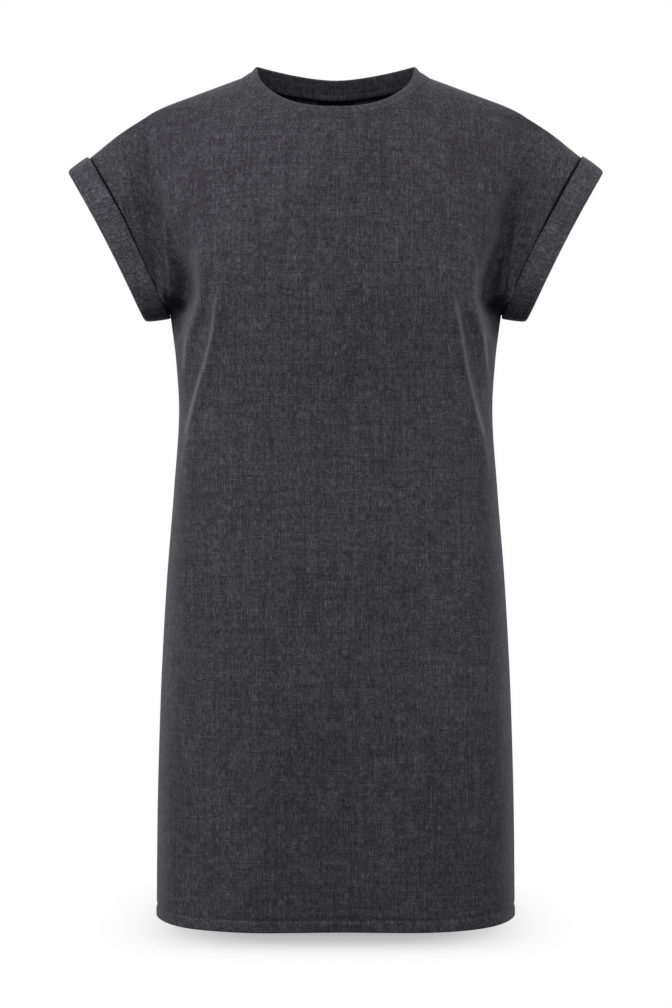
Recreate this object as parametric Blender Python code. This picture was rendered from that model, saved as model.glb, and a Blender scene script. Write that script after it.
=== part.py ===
"""A t-shirt dress in marl jersey, filled out as if it were worn, with nobody inside it.

Metres, +Z up, the front towards -Y. The origin lies between the two shoulder seams, level with
their neck ends: it is where the wearer's shoulders hold the dress. Every piece is a thin wall.
"""

from collections import namedtuple
from math import asin, cos, degrees, pi, radians, sin

import bmesh
import bpy
import numpy as np

# ---------------------------------------------------------------- driving sizes

WALL = 0.0020  # the cloth
SEAM_GAP = 0.0003  # between two pieces, where they are sewn
FRONT, BACK = -1, 1  # the way each panel faces along Y

HEM_HEIGHT = -0.8505
HEM_TURNING = 0.012  # the turned-up hem
HEM_INSIDE = 0.0012  # how far the turning thickens the wall inwards
HEM_OUTSIDE = 0.0006  # and how far it stands out
HEM_STEP = 0.0010  # half the height over which the turning fades away at its top
UNDERARM_HEIGHT = -0.2415

# Level rings round the body, from the hem up to the underarm. Depths run from the side seams to
# the centre front and the centre back. A squareness of 2 is an ellipse, and more is boxier.
Section = namedtuple("Section", "height half_width front back squareness")
BODY_SECTIONS = [
    Section(HEM_HEIGHT, 0.1820, 0.1130, 0.1070, 3.1),
    Section(-0.7600, 0.1813, 0.1128, 0.1080, 3.0),
    Section(-0.6400, 0.1783, 0.1120, 0.1090, 2.9),
    Section(-0.5200, 0.1723, 0.1095, 0.1060, 2.8),
    Section(-0.4200, 0.1645, 0.1060, 0.0980, 2.7),
    Section(-0.3370, 0.1593, 0.1045, 0.0920, 2.6),
    Section(-0.2900, 0.1620, 0.1090, 0.0940, 2.5),
    Section(UNDERARM_HEIGHT, 0.1680, 0.1140, 0.0985, 2.5),
]

SIDE_SQUARENESS = 2.0  # of every ring close to the side seams
SIDE_BLEND = 6  # a higher one keeps that roundness closer to the seam

# The shoulder seam from the neck band out to the cuff, seen from the front.
Place = namedtuple("Place", "x z")
SHOULDER_SEAM = [
    Place(0.1401, -0.0163),
    Place(0.1808, -0.0322),
    Place(0.2143, -0.0526),
]
SLEEVE_TOP = Place(0.2489, -0.0810)  # where the turned-back cuff's free edge crosses the seam
CUFF_TOP_END = Place(0.2690, -0.0957)  # the sleeve's end, inside the cuff's fold
CUFF_UNDER_END = Place(0.1922, -0.2450)
CUFF_OPEN_HALF = 0.0470  # half the sleeve opening, front to back
SLEEVE_FROM = 0.42  # the share of the way out from the centre where the sleeve begins to fill
SLEEVE_HANG = 1.4  # a higher one moves the fullest part of the sleeve up towards the shoulder
SLEEVE_END_BLEND = 8  # a higher one brings the sleeve to its opening's form closer to its end
FULLNESS_BLEND = 3  # how softly the body's fullness runs over into the sleeve's
YOKE_FLARE = 0.13  # how fast the body widens above the underarm
RUN_ON_FADE = 3  # how soon the body's slope at the underarm dies away above it
CUFF_SQUARENESS = 2.3
CUFF_BOW = 0.0034  # how far the middle of the opening is drawn in towards the body
BOW_BLEND = 6  # a higher one keeps that bow closer to the sleeve's end
CUFF_THICK = 0.0022
CUFF_FOLD = 0.0024  # the fold that closes over the sleeve's end
CUFF_SETBACK = 0.0012  # from the body cloth's last column to the cuff's free edge

# The neck seam, seen from above, is rounder in front and flatter behind. How high it lies comes
# from the shoulders' form.
NECK_SEAM_HALF_WIDTH = 0.0955
NECK_SEAM_HIGH = 0.0003
NECK_SEAM_FRONT = 0.0830
NECK_SEAM_BACK = 0.0460
NECK_SEAM_SQUARENESS = {FRONT: 1.85, BACK: 1.86}
NECK_RIDGE_CLIMB = 0.0176  # how far the line of the shoulders would climb on inside the neck
BAND_PROUD = 0.0004
BAND_THICK = 0.0026
BAND_ROUND = 0.0011  # the rounding of its top edge

# The band's width and its lean from level, by the angle round the neck from the centre front.
BandLean = namedtuple("BandLean", "angle width slope")
BAND_LEANS = [
    BandLean(0, 0.0150, 46),
    BandLean(60, 0.0150, 26),
    BandLean(92, 0.0180, 30),
    BandLean(120, 0.0158, 65),
    BandLean(180, 0.0158, 76),
]

# How the panels close over the shoulders, by the share of the way from the centre to the side.
# A higher fall keeps the cloth full for longer, and a higher rounding makes a rounder shoulder.
Shoulder = namedtuple("Shoulder", "across front_fall front_rounding back_fall back_rounding")
SHOULDERS = [
    Shoulder(0.0, 3.58, 1.30, 3.11, 1.54),
    Shoulder(0.33, 2.73, 1.39, 2.54, 1.86),
    Shoulder(1.0, 2.30, 2.00, 2.30, 2.00),
]

# Soft troughs that hang from the shoulder into each underarm, and ridges beside them: where each
# starts, bends and ends on its panel, how deep it is at both ends, and its half width.
Fold = namedtuple("Fold", "panel start bend end start_depth end_depth half_width")
FOLDS = [
    Fold(FRONT, (-0.193, -0.090), (-0.192, -0.140), (-0.184, -0.200), 0.002, 0.005, 0.011),
    Fold(FRONT, (-0.167, -0.150), (-0.150, -0.195), (-0.160, -0.236), 0.002, 0.011, 0.010),
    Fold(FRONT, (-0.149, -0.164), (-0.139, -0.215), (-0.155, -0.280), -0.001, -0.004, 0.008),
    Fold(FRONT, (0.187, -0.095), (0.180, -0.150), (0.169, -0.205), 0.002, 0.007, 0.012),
    Fold(FRONT, (0.172, -0.190), (0.162, -0.210), (0.161, -0.236), 0.003, 0.011, 0.010),
    Fold(FRONT, (0.149, -0.170), (0.141, -0.215), (0.154, -0.280), -0.001, -0.004, 0.008),
    Fold(BACK, (-0.188, -0.095), (-0.182, -0.150), (-0.171, -0.205), 0.002, 0.005, 0.012),
    Fold(BACK, (-0.165, -0.165), (-0.155, -0.205), (-0.161, -0.236), 0.002, 0.010, 0.010),
    Fold(BACK, (0.194, -0.105), (0.188, -0.145), (0.180, -0.205), 0.002, 0.004, 0.011),
    Fold(BACK, (0.167, -0.160), (0.154, -0.200), (0.160, -0.236), 0.002, 0.010, 0.010),
]

# Waves of the skirt, deepest at the hem and gone at the hip.
Wave = namedtuple("Wave", "panel centre depth half_width")
HEM_WAVES = [
    Wave(FRONT, -0.080, -0.0040, 0.034),
    Wave(FRONT, 0.006, 0.0020, 0.030),
    Wave(FRONT, 0.095, -0.0040, 0.036),
    Wave(BACK, -0.100, -0.0035, 0.032),
    Wave(BACK, -0.020, 0.0020, 0.034),
    Wave(BACK, 0.070, -0.0040, 0.030),
]
WAVE_TOP = -0.560

LABEL_HALF_WIDTH = 0.0195
LABEL_DROP = 0.0220
LABEL_THICK = 0.0010
LABEL_BELOW_SEAM = 0.0015

# How many steps each piece is made in.
SEAM_SEARCHES = 12  # for the height of the neck seam, each closer than the last
FOLD_STEPS = 25
SIDE_STEPS = 16  # columns from the centre to the side seam
NECK_STEPS = 8  # how many of them end on the neck band
SLEEVE_STEPS = 14  # rows from the underarm to the shoulder
CUFF_STEPS = 2  # columns inside the cuff
LABEL_STEPS = 3  # rows of the label, and columns to each side of its middle
SKIRT_HEIGHTS = [
    *(-0.800, -0.745, -0.690, -0.630, -0.570, -0.510),
    *(-0.450, -0.400, -0.355, -0.315, -0.282, -0.258),
]

CLOTH = dict(colour=(0.048, 0.046, 0.053), roughness=0.92)
RIB = dict(colour=(0.054, 0.052, 0.060), roughness=0.90)
LABEL_SATIN = dict(colour=(0.010, 0.010, 0.011), roughness=0.55)
CREASE_ANGLE = 40  # degrees: a wall's edges stay crisp above it

# Short distances over which a slope or a direction is measured.
DOWN = 0.001
TURN = 0.5
BELOW_SEAM = 0.06
ALONG_LABEL = 0.01
DOWN_LABEL = 0.02
LEVEL = 1e-9


# ---------------------------------------------------------------- curves

def curve_through(places, values, at):
    """A smooth curve through the values, with no overshoot, read at one place."""
    places, values = np.asarray(places, float), np.asarray(values, float)
    at = min(max(at, places[0]), places[-1])
    steps = np.diff(places)
    slopes = np.diff(values) / steps
    tangents = np.empty(len(values))
    tangents[0], tangents[-1] = slopes[0], slopes[-1]
    for i in range(1, len(slopes)):
        a, b = slopes[i - 1], slopes[i]
        tangents[i] = 0.0 if a * b <= 0 else 2 * a * b / (a + b)
    i = min(int(np.searchsorted(places, at, side="right")) - 1, len(steps) - 1)
    t = (at - places[i]) / steps[i]
    return (
        values[i] * (1 + 2 * t) * (1 - t) ** 2
        + values[i + 1] * t * t * (3 - 2 * t)
        + steps[i] * t * (1 - t) * (tangents[i] * (1 - t) - tangents[i + 1] * t)
    )


def column(table, name):
    return [getattr(row, name) for row in table]


def mix(a, b, t):
    return a + (b - a) * t


def ease(t):
    t = min(max(t, 0.0), 1.0)
    return t * t * (3 - 2 * t)


def unit(vector):
    return vector / np.linalg.norm(vector)


def square_round(across, along, squareness):
    """Carries a point of the unit circle out onto a superellipse."""
    reach = (abs(across) ** squareness + abs(along) ** squareness) ** (-1 / squareness)
    return across * reach, along * reach


def ring_depth(share, squareness):
    """How deep a level ring is at a share of the way out to its side, rounder at the side."""
    power = mix(squareness, SIDE_SQUARENESS, share**SIDE_BLEND)
    return max(0.0, 1 - share**power) ** (1 / power)


# ---------------------------------------------------------------- the panels' form

def body_point(panel, across, height):
    """A point of a level ring. Across runs from -1 at one side seam to 1 at the other."""
    heights = column(BODY_SECTIONS, "height")
    size = {
        name: curve_through(heights, column(BODY_SECTIONS, name), height)
        for name in ("half_width", "front", "back", "squareness")
    }
    angle = across * pi / 2
    x, _ = square_round(sin(angle), cos(angle), size["squareness"])
    depth = (size["front"] if panel == FRONT else size["back"]) * ring_depth(abs(x), size["squareness"])
    return np.array([x * size["half_width"], panel * depth, height])


def shoulder_height(x):
    """The line of the shoulders: the seam, and inside the neck where it would run on to."""
    x = abs(x)
    if x < NECK_SEAM_HALF_WIDTH:
        return NECK_SEAM_HIGH + NECK_RIDGE_CLIMB * (1 - (x / NECK_SEAM_HALF_WIDTH) ** 2)
    places = [Place(NECK_SEAM_HALF_WIDTH, NECK_SEAM_HIGH), *SHOULDER_SEAM, SLEEVE_TOP]
    return curve_through(column(places, "x"), column(places, "z"), x)


def shoulder_form(panel, across):
    """The fall and the rounding of a panel at a share of the way from its centre to its side."""
    here = 0 if across < SHOULDERS[1].across else 1
    a, b = SHOULDERS[here], SHOULDERS[here + 1]
    share = ease((across - a.across) / (b.across - a.across))
    if panel == FRONT:
        return mix(a.front_fall, b.front_fall, share), mix(a.front_rounding, b.front_rounding, share)
    return mix(a.back_fall, b.back_fall, share), mix(a.back_rounding, b.back_rounding, share)


def yoke_ring(panel, x, z):
    """Above the underarm: the share of the way out to the sleeve's end, and the depth of the
    body there before the cloth closes over the shoulder."""
    ring = BODY_SECTIONS[-1]
    up = z - UNDERARM_HEIGHT
    out = min(1.0, abs(x) / mix(ring.half_width, SLEEVE_TOP.x, up / (SLEEVE_TOP.z - UNDERARM_HEIGHT)))
    across = min(1.0, abs(x) / (ring.half_width + YOKE_FLARE * up))
    depth = ring.front if panel == FRONT else ring.back
    return out, depth * ring_depth(across, ring.squareness)


def neck_seam(angle):
    """The neck seam. Angle 0 is the centre front, and 90 the wearer's left shoulder."""
    across, along = sin(radians(angle)), cos(radians(angle))
    panel = FRONT if along >= -LEVEL else BACK
    x, y = square_round(across, along, NECK_SEAM_SQUARENESS[panel])
    x *= NECK_SEAM_HALF_WIDTH
    depth = abs(y) * (NECK_SEAM_FRONT if panel == FRONT else NECK_SEAM_BACK)
    z = NECK_SEAM_HIGH
    for _ in range(SEAM_SEARCHES):
        out, full = yoke_ring(panel, x, z)
        fall, rounding = shoulder_form(panel, out)
        rise = (1 - (depth / full) ** rounding) ** (1 / fall)
        z = mix(UNDERARM_HEIGHT, shoulder_height(x), rise)
    return np.array([x, panel * depth, z])


def opening(rise):
    """How far the sleeve opening is from its flat line, 0 to 1, at a rise of 0 to 1 up it."""
    return max(0.0, 1 - abs(2 * rise - 1) ** CUFF_SQUARENESS) ** (1 / CUFF_SQUARENESS)


def yoke_point(panel, across, rise):
    """A point above the underarm. Seen from the front, it is on the straight line from the
    underarm ring to the top edge, which is the shoulder seam or the neck seam."""
    neck_share = NECK_STEPS / SIDE_STEPS
    low = body_point(panel, across, UNDERARM_HEIGHT)
    side = 1 if across >= 0 else -1
    if abs(across) <= neck_share:
        angle = 90 * across / neck_share
        top = neck_seam(angle if panel == FRONT else 180 - angle)
    else:
        out = (abs(across) - neck_share) / (1 - neck_share)
        x = mix(NECK_SEAM_HALF_WIDTH, SLEEVE_TOP.x, out)
        top = np.array([side * x, 0.0, shoulder_height(x)])
    x, z = mix(low[0], top[0], rise), mix(low[2], top[2], rise)
    out, full = yoke_ring(panel, x, z)
    fall, rounding = shoulder_form(panel, out)
    climb = shoulder_height(x) - UNDERARM_HEIGHT
    up = min(max((z - UNDERARM_HEIGHT) / climb, 0.0), 1.0)
    body_depth = full * (1 - up**fall) ** (1 / rounding)
    just_below = abs(body_point(panel, across, UNDERARM_HEIGHT - DOWN)[1])
    run_on = (abs(low[1]) - just_below) / DOWN * climb * up * (1 - up) ** RUN_ON_FADE
    swell = mix(sin(pi * up**SLEEVE_HANG), opening(rise), out**SLEEVE_END_BLEND)
    swell *= ease((out - SLEEVE_FROM) / (1 - SLEEVE_FROM))
    fullness = (body_depth + run_on) ** FULLNESS_BLEND + (CUFF_OPEN_HALF * swell) ** FULLNESS_BLEND
    depth = fullness ** (1 / FULLNESS_BLEND)
    return np.array([x, panel * depth, z]) - bow(side, rise) * abs(across) ** BOW_BLEND


def cuff_axis(side):
    """The way a sleeve points: square to its opening."""
    up = unit(np.array([SLEEVE_TOP.x - CUFF_UNDER_END.x, SLEEVE_TOP.z - CUFF_UNDER_END.z]))
    return np.array([side * up[1], 0.0, -up[0]])


def bow(side, rise):
    """How far the sleeve opening is drawn in towards the body, at a rise of 0 to 1 up it."""
    return CUFF_BOW * 4 * rise * (1 - rise) * cuff_axis(side)


def sleeve_end_point(panel, side, reach, rise):
    """A point of the part of the sleeve that the cuff covers, reach 0 to 1 along it."""
    start = yoke_point(panel, side, rise)
    x = mix(CUFF_UNDER_END.x, CUFF_TOP_END.x, rise)
    z = mix(CUFF_UNDER_END.z, CUFF_TOP_END.z, rise)
    end = np.array([side * x, start[1], z]) - bow(side, rise)
    return mix(start, end, reach)


def fold_depth(panel, x, z):
    """How far the folds push the cloth in at a point seen from the front."""
    total = 0.0
    for fold in FOLDS:
        if fold.panel != panel:
            continue
        start, bend, end = np.array([fold.start, fold.bend, fold.end])
        t = np.linspace(0, 1, FOLD_STEPS)[:, None]
        along = mix(mix(start, bend, t), mix(bend, end, t), t)
        distances = np.hypot(*(along - np.array([x, z])).T)
        nearest = int(np.argmin(distances))
        depth = mix(fold.start_depth, fold.end_depth, t[nearest, 0])
        total += depth * np.exp(-((distances[nearest] / fold.half_width) ** 2))
    for wave in HEM_WAVES:
        if wave.panel == panel and z < WAVE_TOP:
            fade = ease((WAVE_TOP - z) / (WAVE_TOP - HEM_HEIGHT))
            total += wave.depth * fade * np.exp(-(((x - wave.centre) / wave.half_width) ** 2))
    return total


# ---------------------------------------------------------------- the neck band's form

def around(ring, angle):
    """The direction in which a ring runs at an angle."""
    return unit(ring(angle + TURN) - ring(angle - TURN))


def band_rise(angle):
    """The step from the neck seam up to the band's top edge."""
    turn = abs((angle + 180) % 360 - 180)
    angles = column(BAND_LEANS, "angle")
    width = curve_through(angles, column(BAND_LEANS, "width"), turn)
    slope = radians(curve_through(angles, column(BAND_LEANS, "slope"), turn))
    run = around(neck_seam, angle)
    outward = unit(np.array([run[1], -run[0], 0.0]))
    return width * (sin(slope) * np.array([0, 0, 1.0]) - cos(slope) * outward)


def neck_edge(angle):
    """The band's top edge."""
    return neck_seam(angle) + band_rise(angle)


# ---------------------------------------------------------------- walls

def new_object(name, points, faces, finish):
    mesh = bpy.data.meshes.new(name)
    mesh.from_pydata([tuple(p) for p in points], [], faces)
    made = bmesh.new()
    made.from_mesh(mesh)
    bmesh.ops.recalc_face_normals(made, faces=made.faces)
    bmesh.ops.triangulate(made, faces=made.faces)
    made.to_mesh(mesh)
    made.free()
    mesh.shade_smooth()
    mesh.set_sharp_from_angle(angle=radians(CREASE_ANGLE))
    material = bpy.data.materials.get(name) or bpy.data.materials.new(name)
    material.use_nodes = True
    shader = material.node_tree.nodes["Principled BSDF"]
    shader.inputs["Base Color"].default_value = (*finish["colour"], 1.0)
    shader.inputs["Roughness"].default_value = finish["roughness"]
    shader.inputs["Metallic"].default_value = 0.0
    mesh.materials.append(material)
    piece = bpy.data.objects.new(name, mesh)
    bpy.context.scene.collection.objects.link(piece)
    return piece


def grid_normals(points, panel):
    """The outward normal at each point of a grid, from the points round it."""
    normals = {}
    for row, step in points:
        here = points[row, step]
        left, right = points.get((row, step - 1), here), points.get((row, step + 1), here)
        below, above = points.get((row - 1, step), here), points.get((row + 1, step), here)
        normal = np.cross(right - left, above - below)
        normals[row, step] = unit(-panel * normal)
    return normals


def wall(name, points, normals, thickness, finish):
    """A closed wall from a grid of outer points: its inner face lies inwards of each point."""
    keys = sorted(points)
    index = {key: i for i, key in enumerate(keys)}
    outer = [points[key] for key in keys]
    inner = [points[key] - normals[key] * thickness[key] for key in keys]
    faces, edges = [], {}
    for row, step in keys:
        corners = [(row, step), (row, step + 1), (row + 1, step + 1), (row + 1, step)]
        if any(corner not in index for corner in corners):
            continue
        loop = [index[corner] for corner in corners]
        faces.append(loop)
        faces.append([i + len(keys) for i in reversed(loop)])
        for a, b in zip(loop, loop[1:] + loop[:1]):
            if (b, a) in edges:
                del edges[b, a]
            else:
                edges[a, b] = True
    for a, b in edges:
        faces.append([b, a, a + len(keys), b + len(keys)])
    return new_object(name, outer + inner, faces, finish)


def ring_of_sections(name, sections, finish):
    """A closed ring swept through sections of equally many points."""
    count, size = len(sections), len(sections[0])
    points = [point for section in sections for point in section]
    faces = []
    for i in range(count):
        for j in range(size):
            here, there = i * size, (i + 1) % count * size
            after = (j + 1) % size
            faces.append([here + j, there + j, there + after, here + after])
    return new_object(name, points, faces, finish)


# ---------------------------------------------------------------- the pieces

def panel_rows():
    """Each row of a panel: its height below the underarm, or its rise of 0 to 1 above it."""
    hem_top = HEM_HEIGHT + HEM_TURNING
    rows = [("height", HEM_HEIGHT), ("height", hem_top - HEM_STEP), ("height", hem_top + HEM_STEP)]
    rows += [("height", height) for height in SKIRT_HEIGHTS]
    rows += [("rise", (1 - cos(pi * i / SLEEVE_STEPS)) / 2) for i in range(SLEEVE_STEPS + 1)]
    return rows


def panel_grid(panel):
    """The panel's outer points, their normals and the wall's thickness at each."""
    rows = panel_rows()
    points = {}
    for row, (kind, value) in enumerate(rows):
        for step in range(-SIDE_STEPS, SIDE_STEPS + 1):
            across = step / SIDE_STEPS
            make = body_point if kind == "height" else yoke_point
            points[row, step] = make(panel, across, value)
        if kind == "rise":
            for side in (-1, 1):
                for extra in range(1, CUFF_STEPS + 1):
                    step = side * (SIDE_STEPS + extra)
                    points[row, step] = sleeve_end_point(panel, side, extra / CUFF_STEPS, value)
    normals = grid_normals(points, panel)
    last = len(rows) - 1
    underarm = last - SLEEVE_STEPS
    seam_y = panel * SEAM_GAP / 2
    thickness = {}
    for key in points:
        row, step = key
        kind, value = rows[row]
        in_hem = kind == "height" and value < HEM_HEIGHT + HEM_TURNING
        on_side = abs(step) == SIDE_STEPS and row <= underarm
        under_sleeve = abs(step) > SIDE_STEPS and row == underarm
        on_shoulder = abs(step) >= NECK_STEPS and row == last
        at_neck = abs(step) <= NECK_STEPS and row == last
        if on_side or under_sleeve or on_shoulder:
            normals[key][1] = 0.0
            normals[key] = unit(normals[key])
        if row == 0:
            normals[key][2] = 0.0
            normals[key] = unit(normals[key])
        if not at_neck and abs(step) < SIDE_STEPS + (kind == "height"):
            x, y, z = points[key]
            points[key] = points[key] - normals[key] * fold_depth(panel, x, z)
        thickness[key] = WALL
        if in_hem:
            points[key] = points[key] + normals[key] * HEM_OUTSIDE
            thickness[key] = WALL + HEM_INSIDE + HEM_OUTSIDE
        if on_side or under_sleeve or on_shoulder:
            points[key][1] = seam_y
    return points, normals, thickness


def neck_frame(panel, angle):
    """At a place on the neck seam: the point, the mitre's outward and upward directions."""
    point = neck_seam(angle)
    run = around(neck_seam, angle)
    up_band = unit(band_rise(angle))
    band_out = unit(np.cross(run, up_band))
    share = (angle if panel == FRONT else 180 - angle) / 90 * NECK_STEPS / SIDE_STEPS
    below = yoke_point(panel, share, 1 - BELOW_SEAM)
    up_panel = unit(point - below)
    panel_out = unit(np.cross(run, up_panel))
    out = unit(band_out + panel_out)
    if abs(abs(angle) - 90) < LEVEL:
        out[1] = 0.0
        out = unit(out)
    up = unit(np.cross(out, run))
    return point, out, up


def neck_angle(panel, step):
    angle = 90 * step / NECK_STEPS
    return angle if panel == FRONT else 180 - angle


def make_panel(name, panel):
    points, normals, thickness = panel_grid(panel)
    last = max(row for row, step in points)
    for step in range(-NECK_STEPS, NECK_STEPS + 1):
        point, out, up = neck_frame(panel, neck_angle(panel, step))
        points[last, step] = point - up * SEAM_GAP / 2
        normals[last, step] = out
        if abs(step) == NECK_STEPS:
            points[last, step][1] = panel * SEAM_GAP / 2
    return wall(name, points, normals, thickness, CLOTH)


def make_neck_band():
    sections = []
    count = 4 * NECK_STEPS
    for i in range(count):
        angle = 360 * i / count
        panel = FRONT if cos(radians(angle)) > -LEVEL else BACK
        foot, out, up = neck_frame(panel, (angle + 180) % 360 - 180 if panel == FRONT else angle)
        top = neck_edge(angle)
        run = around(neck_edge, angle)
        rise = unit(band_rise(angle))
        face = unit(np.cross(run, rise))
        inside = BAND_THICK - BAND_PROUD
        foot = foot + up * SEAM_GAP / 2
        flat_ends = top - rise * BAND_ROUND * 3 / 2
        turning = top - rise * BAND_ROUND / 2
        sections.append(
            [
                foot + out * BAND_PROUD,
                flat_ends + face * BAND_PROUD,
                turning + face * (BAND_PROUD - BAND_ROUND / 2),
                top - face * (BAND_THICK / 2 - BAND_PROUD),
                turning - face * (inside - BAND_ROUND / 2),
                flat_ends - face * inside,
                foot - out * inside,
            ]
        )
    return ring_of_sections("neck_band", sections, RIB)


def make_cuff(name, side):
    """The turned-back cuff lies on the sleeve, and its fold closes over the sleeve's end."""
    grids = {panel: panel_grid(panel) for panel in (FRONT, BACK)}
    last = max(row for row, step in grids[FRONT][0])
    underarm = last - SLEEVE_STEPS
    stations = [(FRONT, row) for row in range(underarm, last + 1)]
    stations += [(BACK, row) for row in range(last - 1, underarm, -1)]
    first_step, end_step = side * SIDE_STEPS, side * (SIDE_STEPS + CUFF_STEPS)
    sections = []
    for panel, row in stations:
        points, normals, thickness = grids[panel]
        start, end = points[row, first_step].copy(), points[row, end_step].copy()
        out = normals[row, end_step].copy()
        if row in (underarm, last):
            start[1] = end[1] = 0.0
        along = unit(end - start)
        out = unit(out - along * out.dot(along))
        lap = start + along * CUFF_SETBACK
        over = out * (SEAM_GAP + CUFF_THICK)
        turn, tip = end + along * CUFF_FOLD / 2, end + along * (CUFF_FOLD + SEAM_GAP)
        sections.append(
            [
                lap + out * SEAM_GAP,
                lap + over,
                turn + over,
                tip + over / 3,
                tip - out * WALL / 2,
                turn - out * WALL,
                end + along * SEAM_GAP - out * WALL,
                end + along * SEAM_GAP + out * SEAM_GAP,
            ]
        )
    return ring_of_sections(name, sections, CLOTH)


def make_label():
    """A plain woven label that hangs from the neck seam on the inside of the back."""
    neck_share = NECK_STEPS / SIDE_STEPS
    reach = degrees(asin(LABEL_HALF_WIDTH / neck_seam(90)[0])) / 90 * neck_share
    length = neck_seam(180)[2] - UNDERARM_HEIGHT
    points, normals, thickness = {}, {}, {}
    for row in range(LABEL_STEPS + 1):
        below = LABEL_BELOW_SEAM + LABEL_DROP * row / LABEL_STEPS
        rise = 1 - below / length
        for step in range(-LABEL_STEPS, LABEL_STEPS + 1):
            across = reach * step / LABEL_STEPS
            here = yoke_point(BACK, across, rise)
            right = yoke_point(BACK, across + ALONG_LABEL, rise)
            lower = yoke_point(BACK, across, rise - DOWN_LABEL)
            out = unit(np.cross(here - lower, right - here))
            points[-row, step] = here - out * (WALL + SEAM_GAP * 2)
            normals[-row, step] = out
            thickness[-row, step] = LABEL_THICK
    return wall("neck_label", points, normals, thickness, LABEL_SATIN)


for old in list(bpy.data.objects):
    bpy.data.objects.remove(old, do_unlink=True)

make_panel("front_panel", FRONT)
make_panel("back_panel", BACK)
make_neck_band()
make_cuff("right_cuff", -1)
make_cuff("left_cuff", 1)
make_label()
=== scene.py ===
# %% [markdown]
# # A T-shirt dress in charcoal marl jersey
#
# The dress is cut like a long T-shirt: a front and a back, each with half of both short sleeves
# grown on to it, a narrow band round the neck, and cuffs turned back on the sleeves. It is shown
# filled out, as if somebody invisible wore it, so all its cloth is thin walls round a hollow.
#
# The solids that give the real size come in first. Nothing below moves them: each piece of cloth
# that is made here lies on its own solid and stands in for it.

# %% The frame
from collections import namedtuple
from math import pi, radians

import bmesh
import bpy
import numpy as np
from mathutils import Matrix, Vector


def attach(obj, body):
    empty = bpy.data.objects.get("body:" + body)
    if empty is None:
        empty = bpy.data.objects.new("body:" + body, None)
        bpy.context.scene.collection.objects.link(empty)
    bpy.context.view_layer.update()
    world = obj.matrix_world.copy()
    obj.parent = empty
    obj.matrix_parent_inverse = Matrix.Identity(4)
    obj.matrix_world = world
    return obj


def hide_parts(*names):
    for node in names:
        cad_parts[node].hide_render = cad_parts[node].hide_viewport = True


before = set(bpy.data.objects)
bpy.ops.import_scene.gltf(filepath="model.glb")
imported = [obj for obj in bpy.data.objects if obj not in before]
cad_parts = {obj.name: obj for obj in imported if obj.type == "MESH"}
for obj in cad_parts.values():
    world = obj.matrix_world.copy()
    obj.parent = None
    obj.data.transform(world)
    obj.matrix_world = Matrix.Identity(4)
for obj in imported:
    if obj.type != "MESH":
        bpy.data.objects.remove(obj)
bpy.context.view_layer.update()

MM = 0.001  # in metres, as everything here is


print("nodes:", ", ".join(sorted(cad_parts)))

# %% [markdown]
# ## The sizes that the dress was cut to
#
# Every point could be typed in or moved by eye, but then no size could be read off or changed. So
# the dress starts as a pattern cutter's notes: how wide and how deep the body is at a few heights,
# where the shoulder seam runs and where the sleeve ends. All the cloth is worked out from them.
# They are in metres, with +Z up and the front towards -Y.

# %% The driving sizes
FRONT, BACK = -1, 1  # the way each panel faces along Y
WAY = {FRONT: "front", BACK: "back"}  # their columns in the tables
HEM_HEIGHT, UNDERARM_HEIGHT = -0.8505, -0.2415

# Level rings round the body. A squareness of 2 is an ellipse, and more is boxier.
Section = namedtuple("Section", "height half_width front back squareness")
BODY_SECTIONS = [
    Section(HEM_HEIGHT, 0.1820, 0.1130, 0.1070, 3.1),
    Section(-0.7600, 0.1813, 0.1128, 0.1080, 3.0),
    Section(-0.6400, 0.1783, 0.1120, 0.1090, 2.9),
    Section(-0.5200, 0.1723, 0.1095, 0.1060, 2.8),
    Section(-0.4200, 0.1645, 0.1060, 0.0980, 2.7),
    Section(-0.3370, 0.1593, 0.1045, 0.0920, 2.6),
    Section(-0.2900, 0.1620, 0.1090, 0.0940, 2.5),
    Section(UNDERARM_HEIGHT, 0.1680, 0.1140, 0.0985, 2.5),
]

# The shoulder seam from the neck band out to the cuff, and the cuff's fold, seen from the front.
Place = namedtuple("Place", "x z")
SHOULDER_SEAM = [Place(0.1401, -0.0163), Place(0.1808, -0.0322), Place(0.2143, -0.0526)]
SLEEVE_TOP = Place(0.2489, -0.0810)
CUFF_TOP_END = Place(0.2690, -0.0957)
CUFF_UNDER_END = Place(0.1922, -0.2450)
NECK_SEAM_HALF_WIDTH, NECK_SEAM_HIGH = 0.0955, 0.0003
print("body rings:", len(BODY_SECTIONS), " hem to neck seam, mm:", round(-HEM_HEIGHT / MM))

# %% [markdown]
# ## Helpers for curves
#
# A loop over every point of a panel would take minutes, so each helper takes whole arrays at once
# and works out tens of thousands of points in a moment. `ease` is a step with soft ends, and
# `square_round` sends a direction out to the edge of a rounded square.


# %% Mixing, rounding and measuring
def column(table, name):
    """One column of a table of named rows."""
    return [getattr(row, name) for row in table]


def mix(a, b, t):
    return a + (b - a) * t


def ease(t):
    t = np.clip(t, 0.0, 1.0)
    return t * t * (3 - 2 * t)


def unit(vectors):
    return vectors / np.linalg.norm(vectors, axis=-1, keepdims=True)


def square_round(across, along, squareness):
    """Where each direction meets the edge. The edge is 1 away along both axes."""
    reach = (np.abs(across) ** squareness + np.abs(along) ** squareness) ** (-1 / squareness)
    return across * reach, along * reach


def added_up(steps, axis):
    """Running sums that begin with 0. A step without cloth, which is nan, adds nothing."""
    start = np.zeros_like(np.take(steps, [0], axis=axis))
    return np.concatenate([start, np.cumsum(np.nan_to_num(steps), axis=axis)], axis=axis)


def lengths_along(points, axis):
    """How far each point of a grid is from the grid's start, measured along the cloth."""
    return added_up(np.linalg.norm(np.diff(points, axis=axis), axis=-1), axis)


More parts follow.
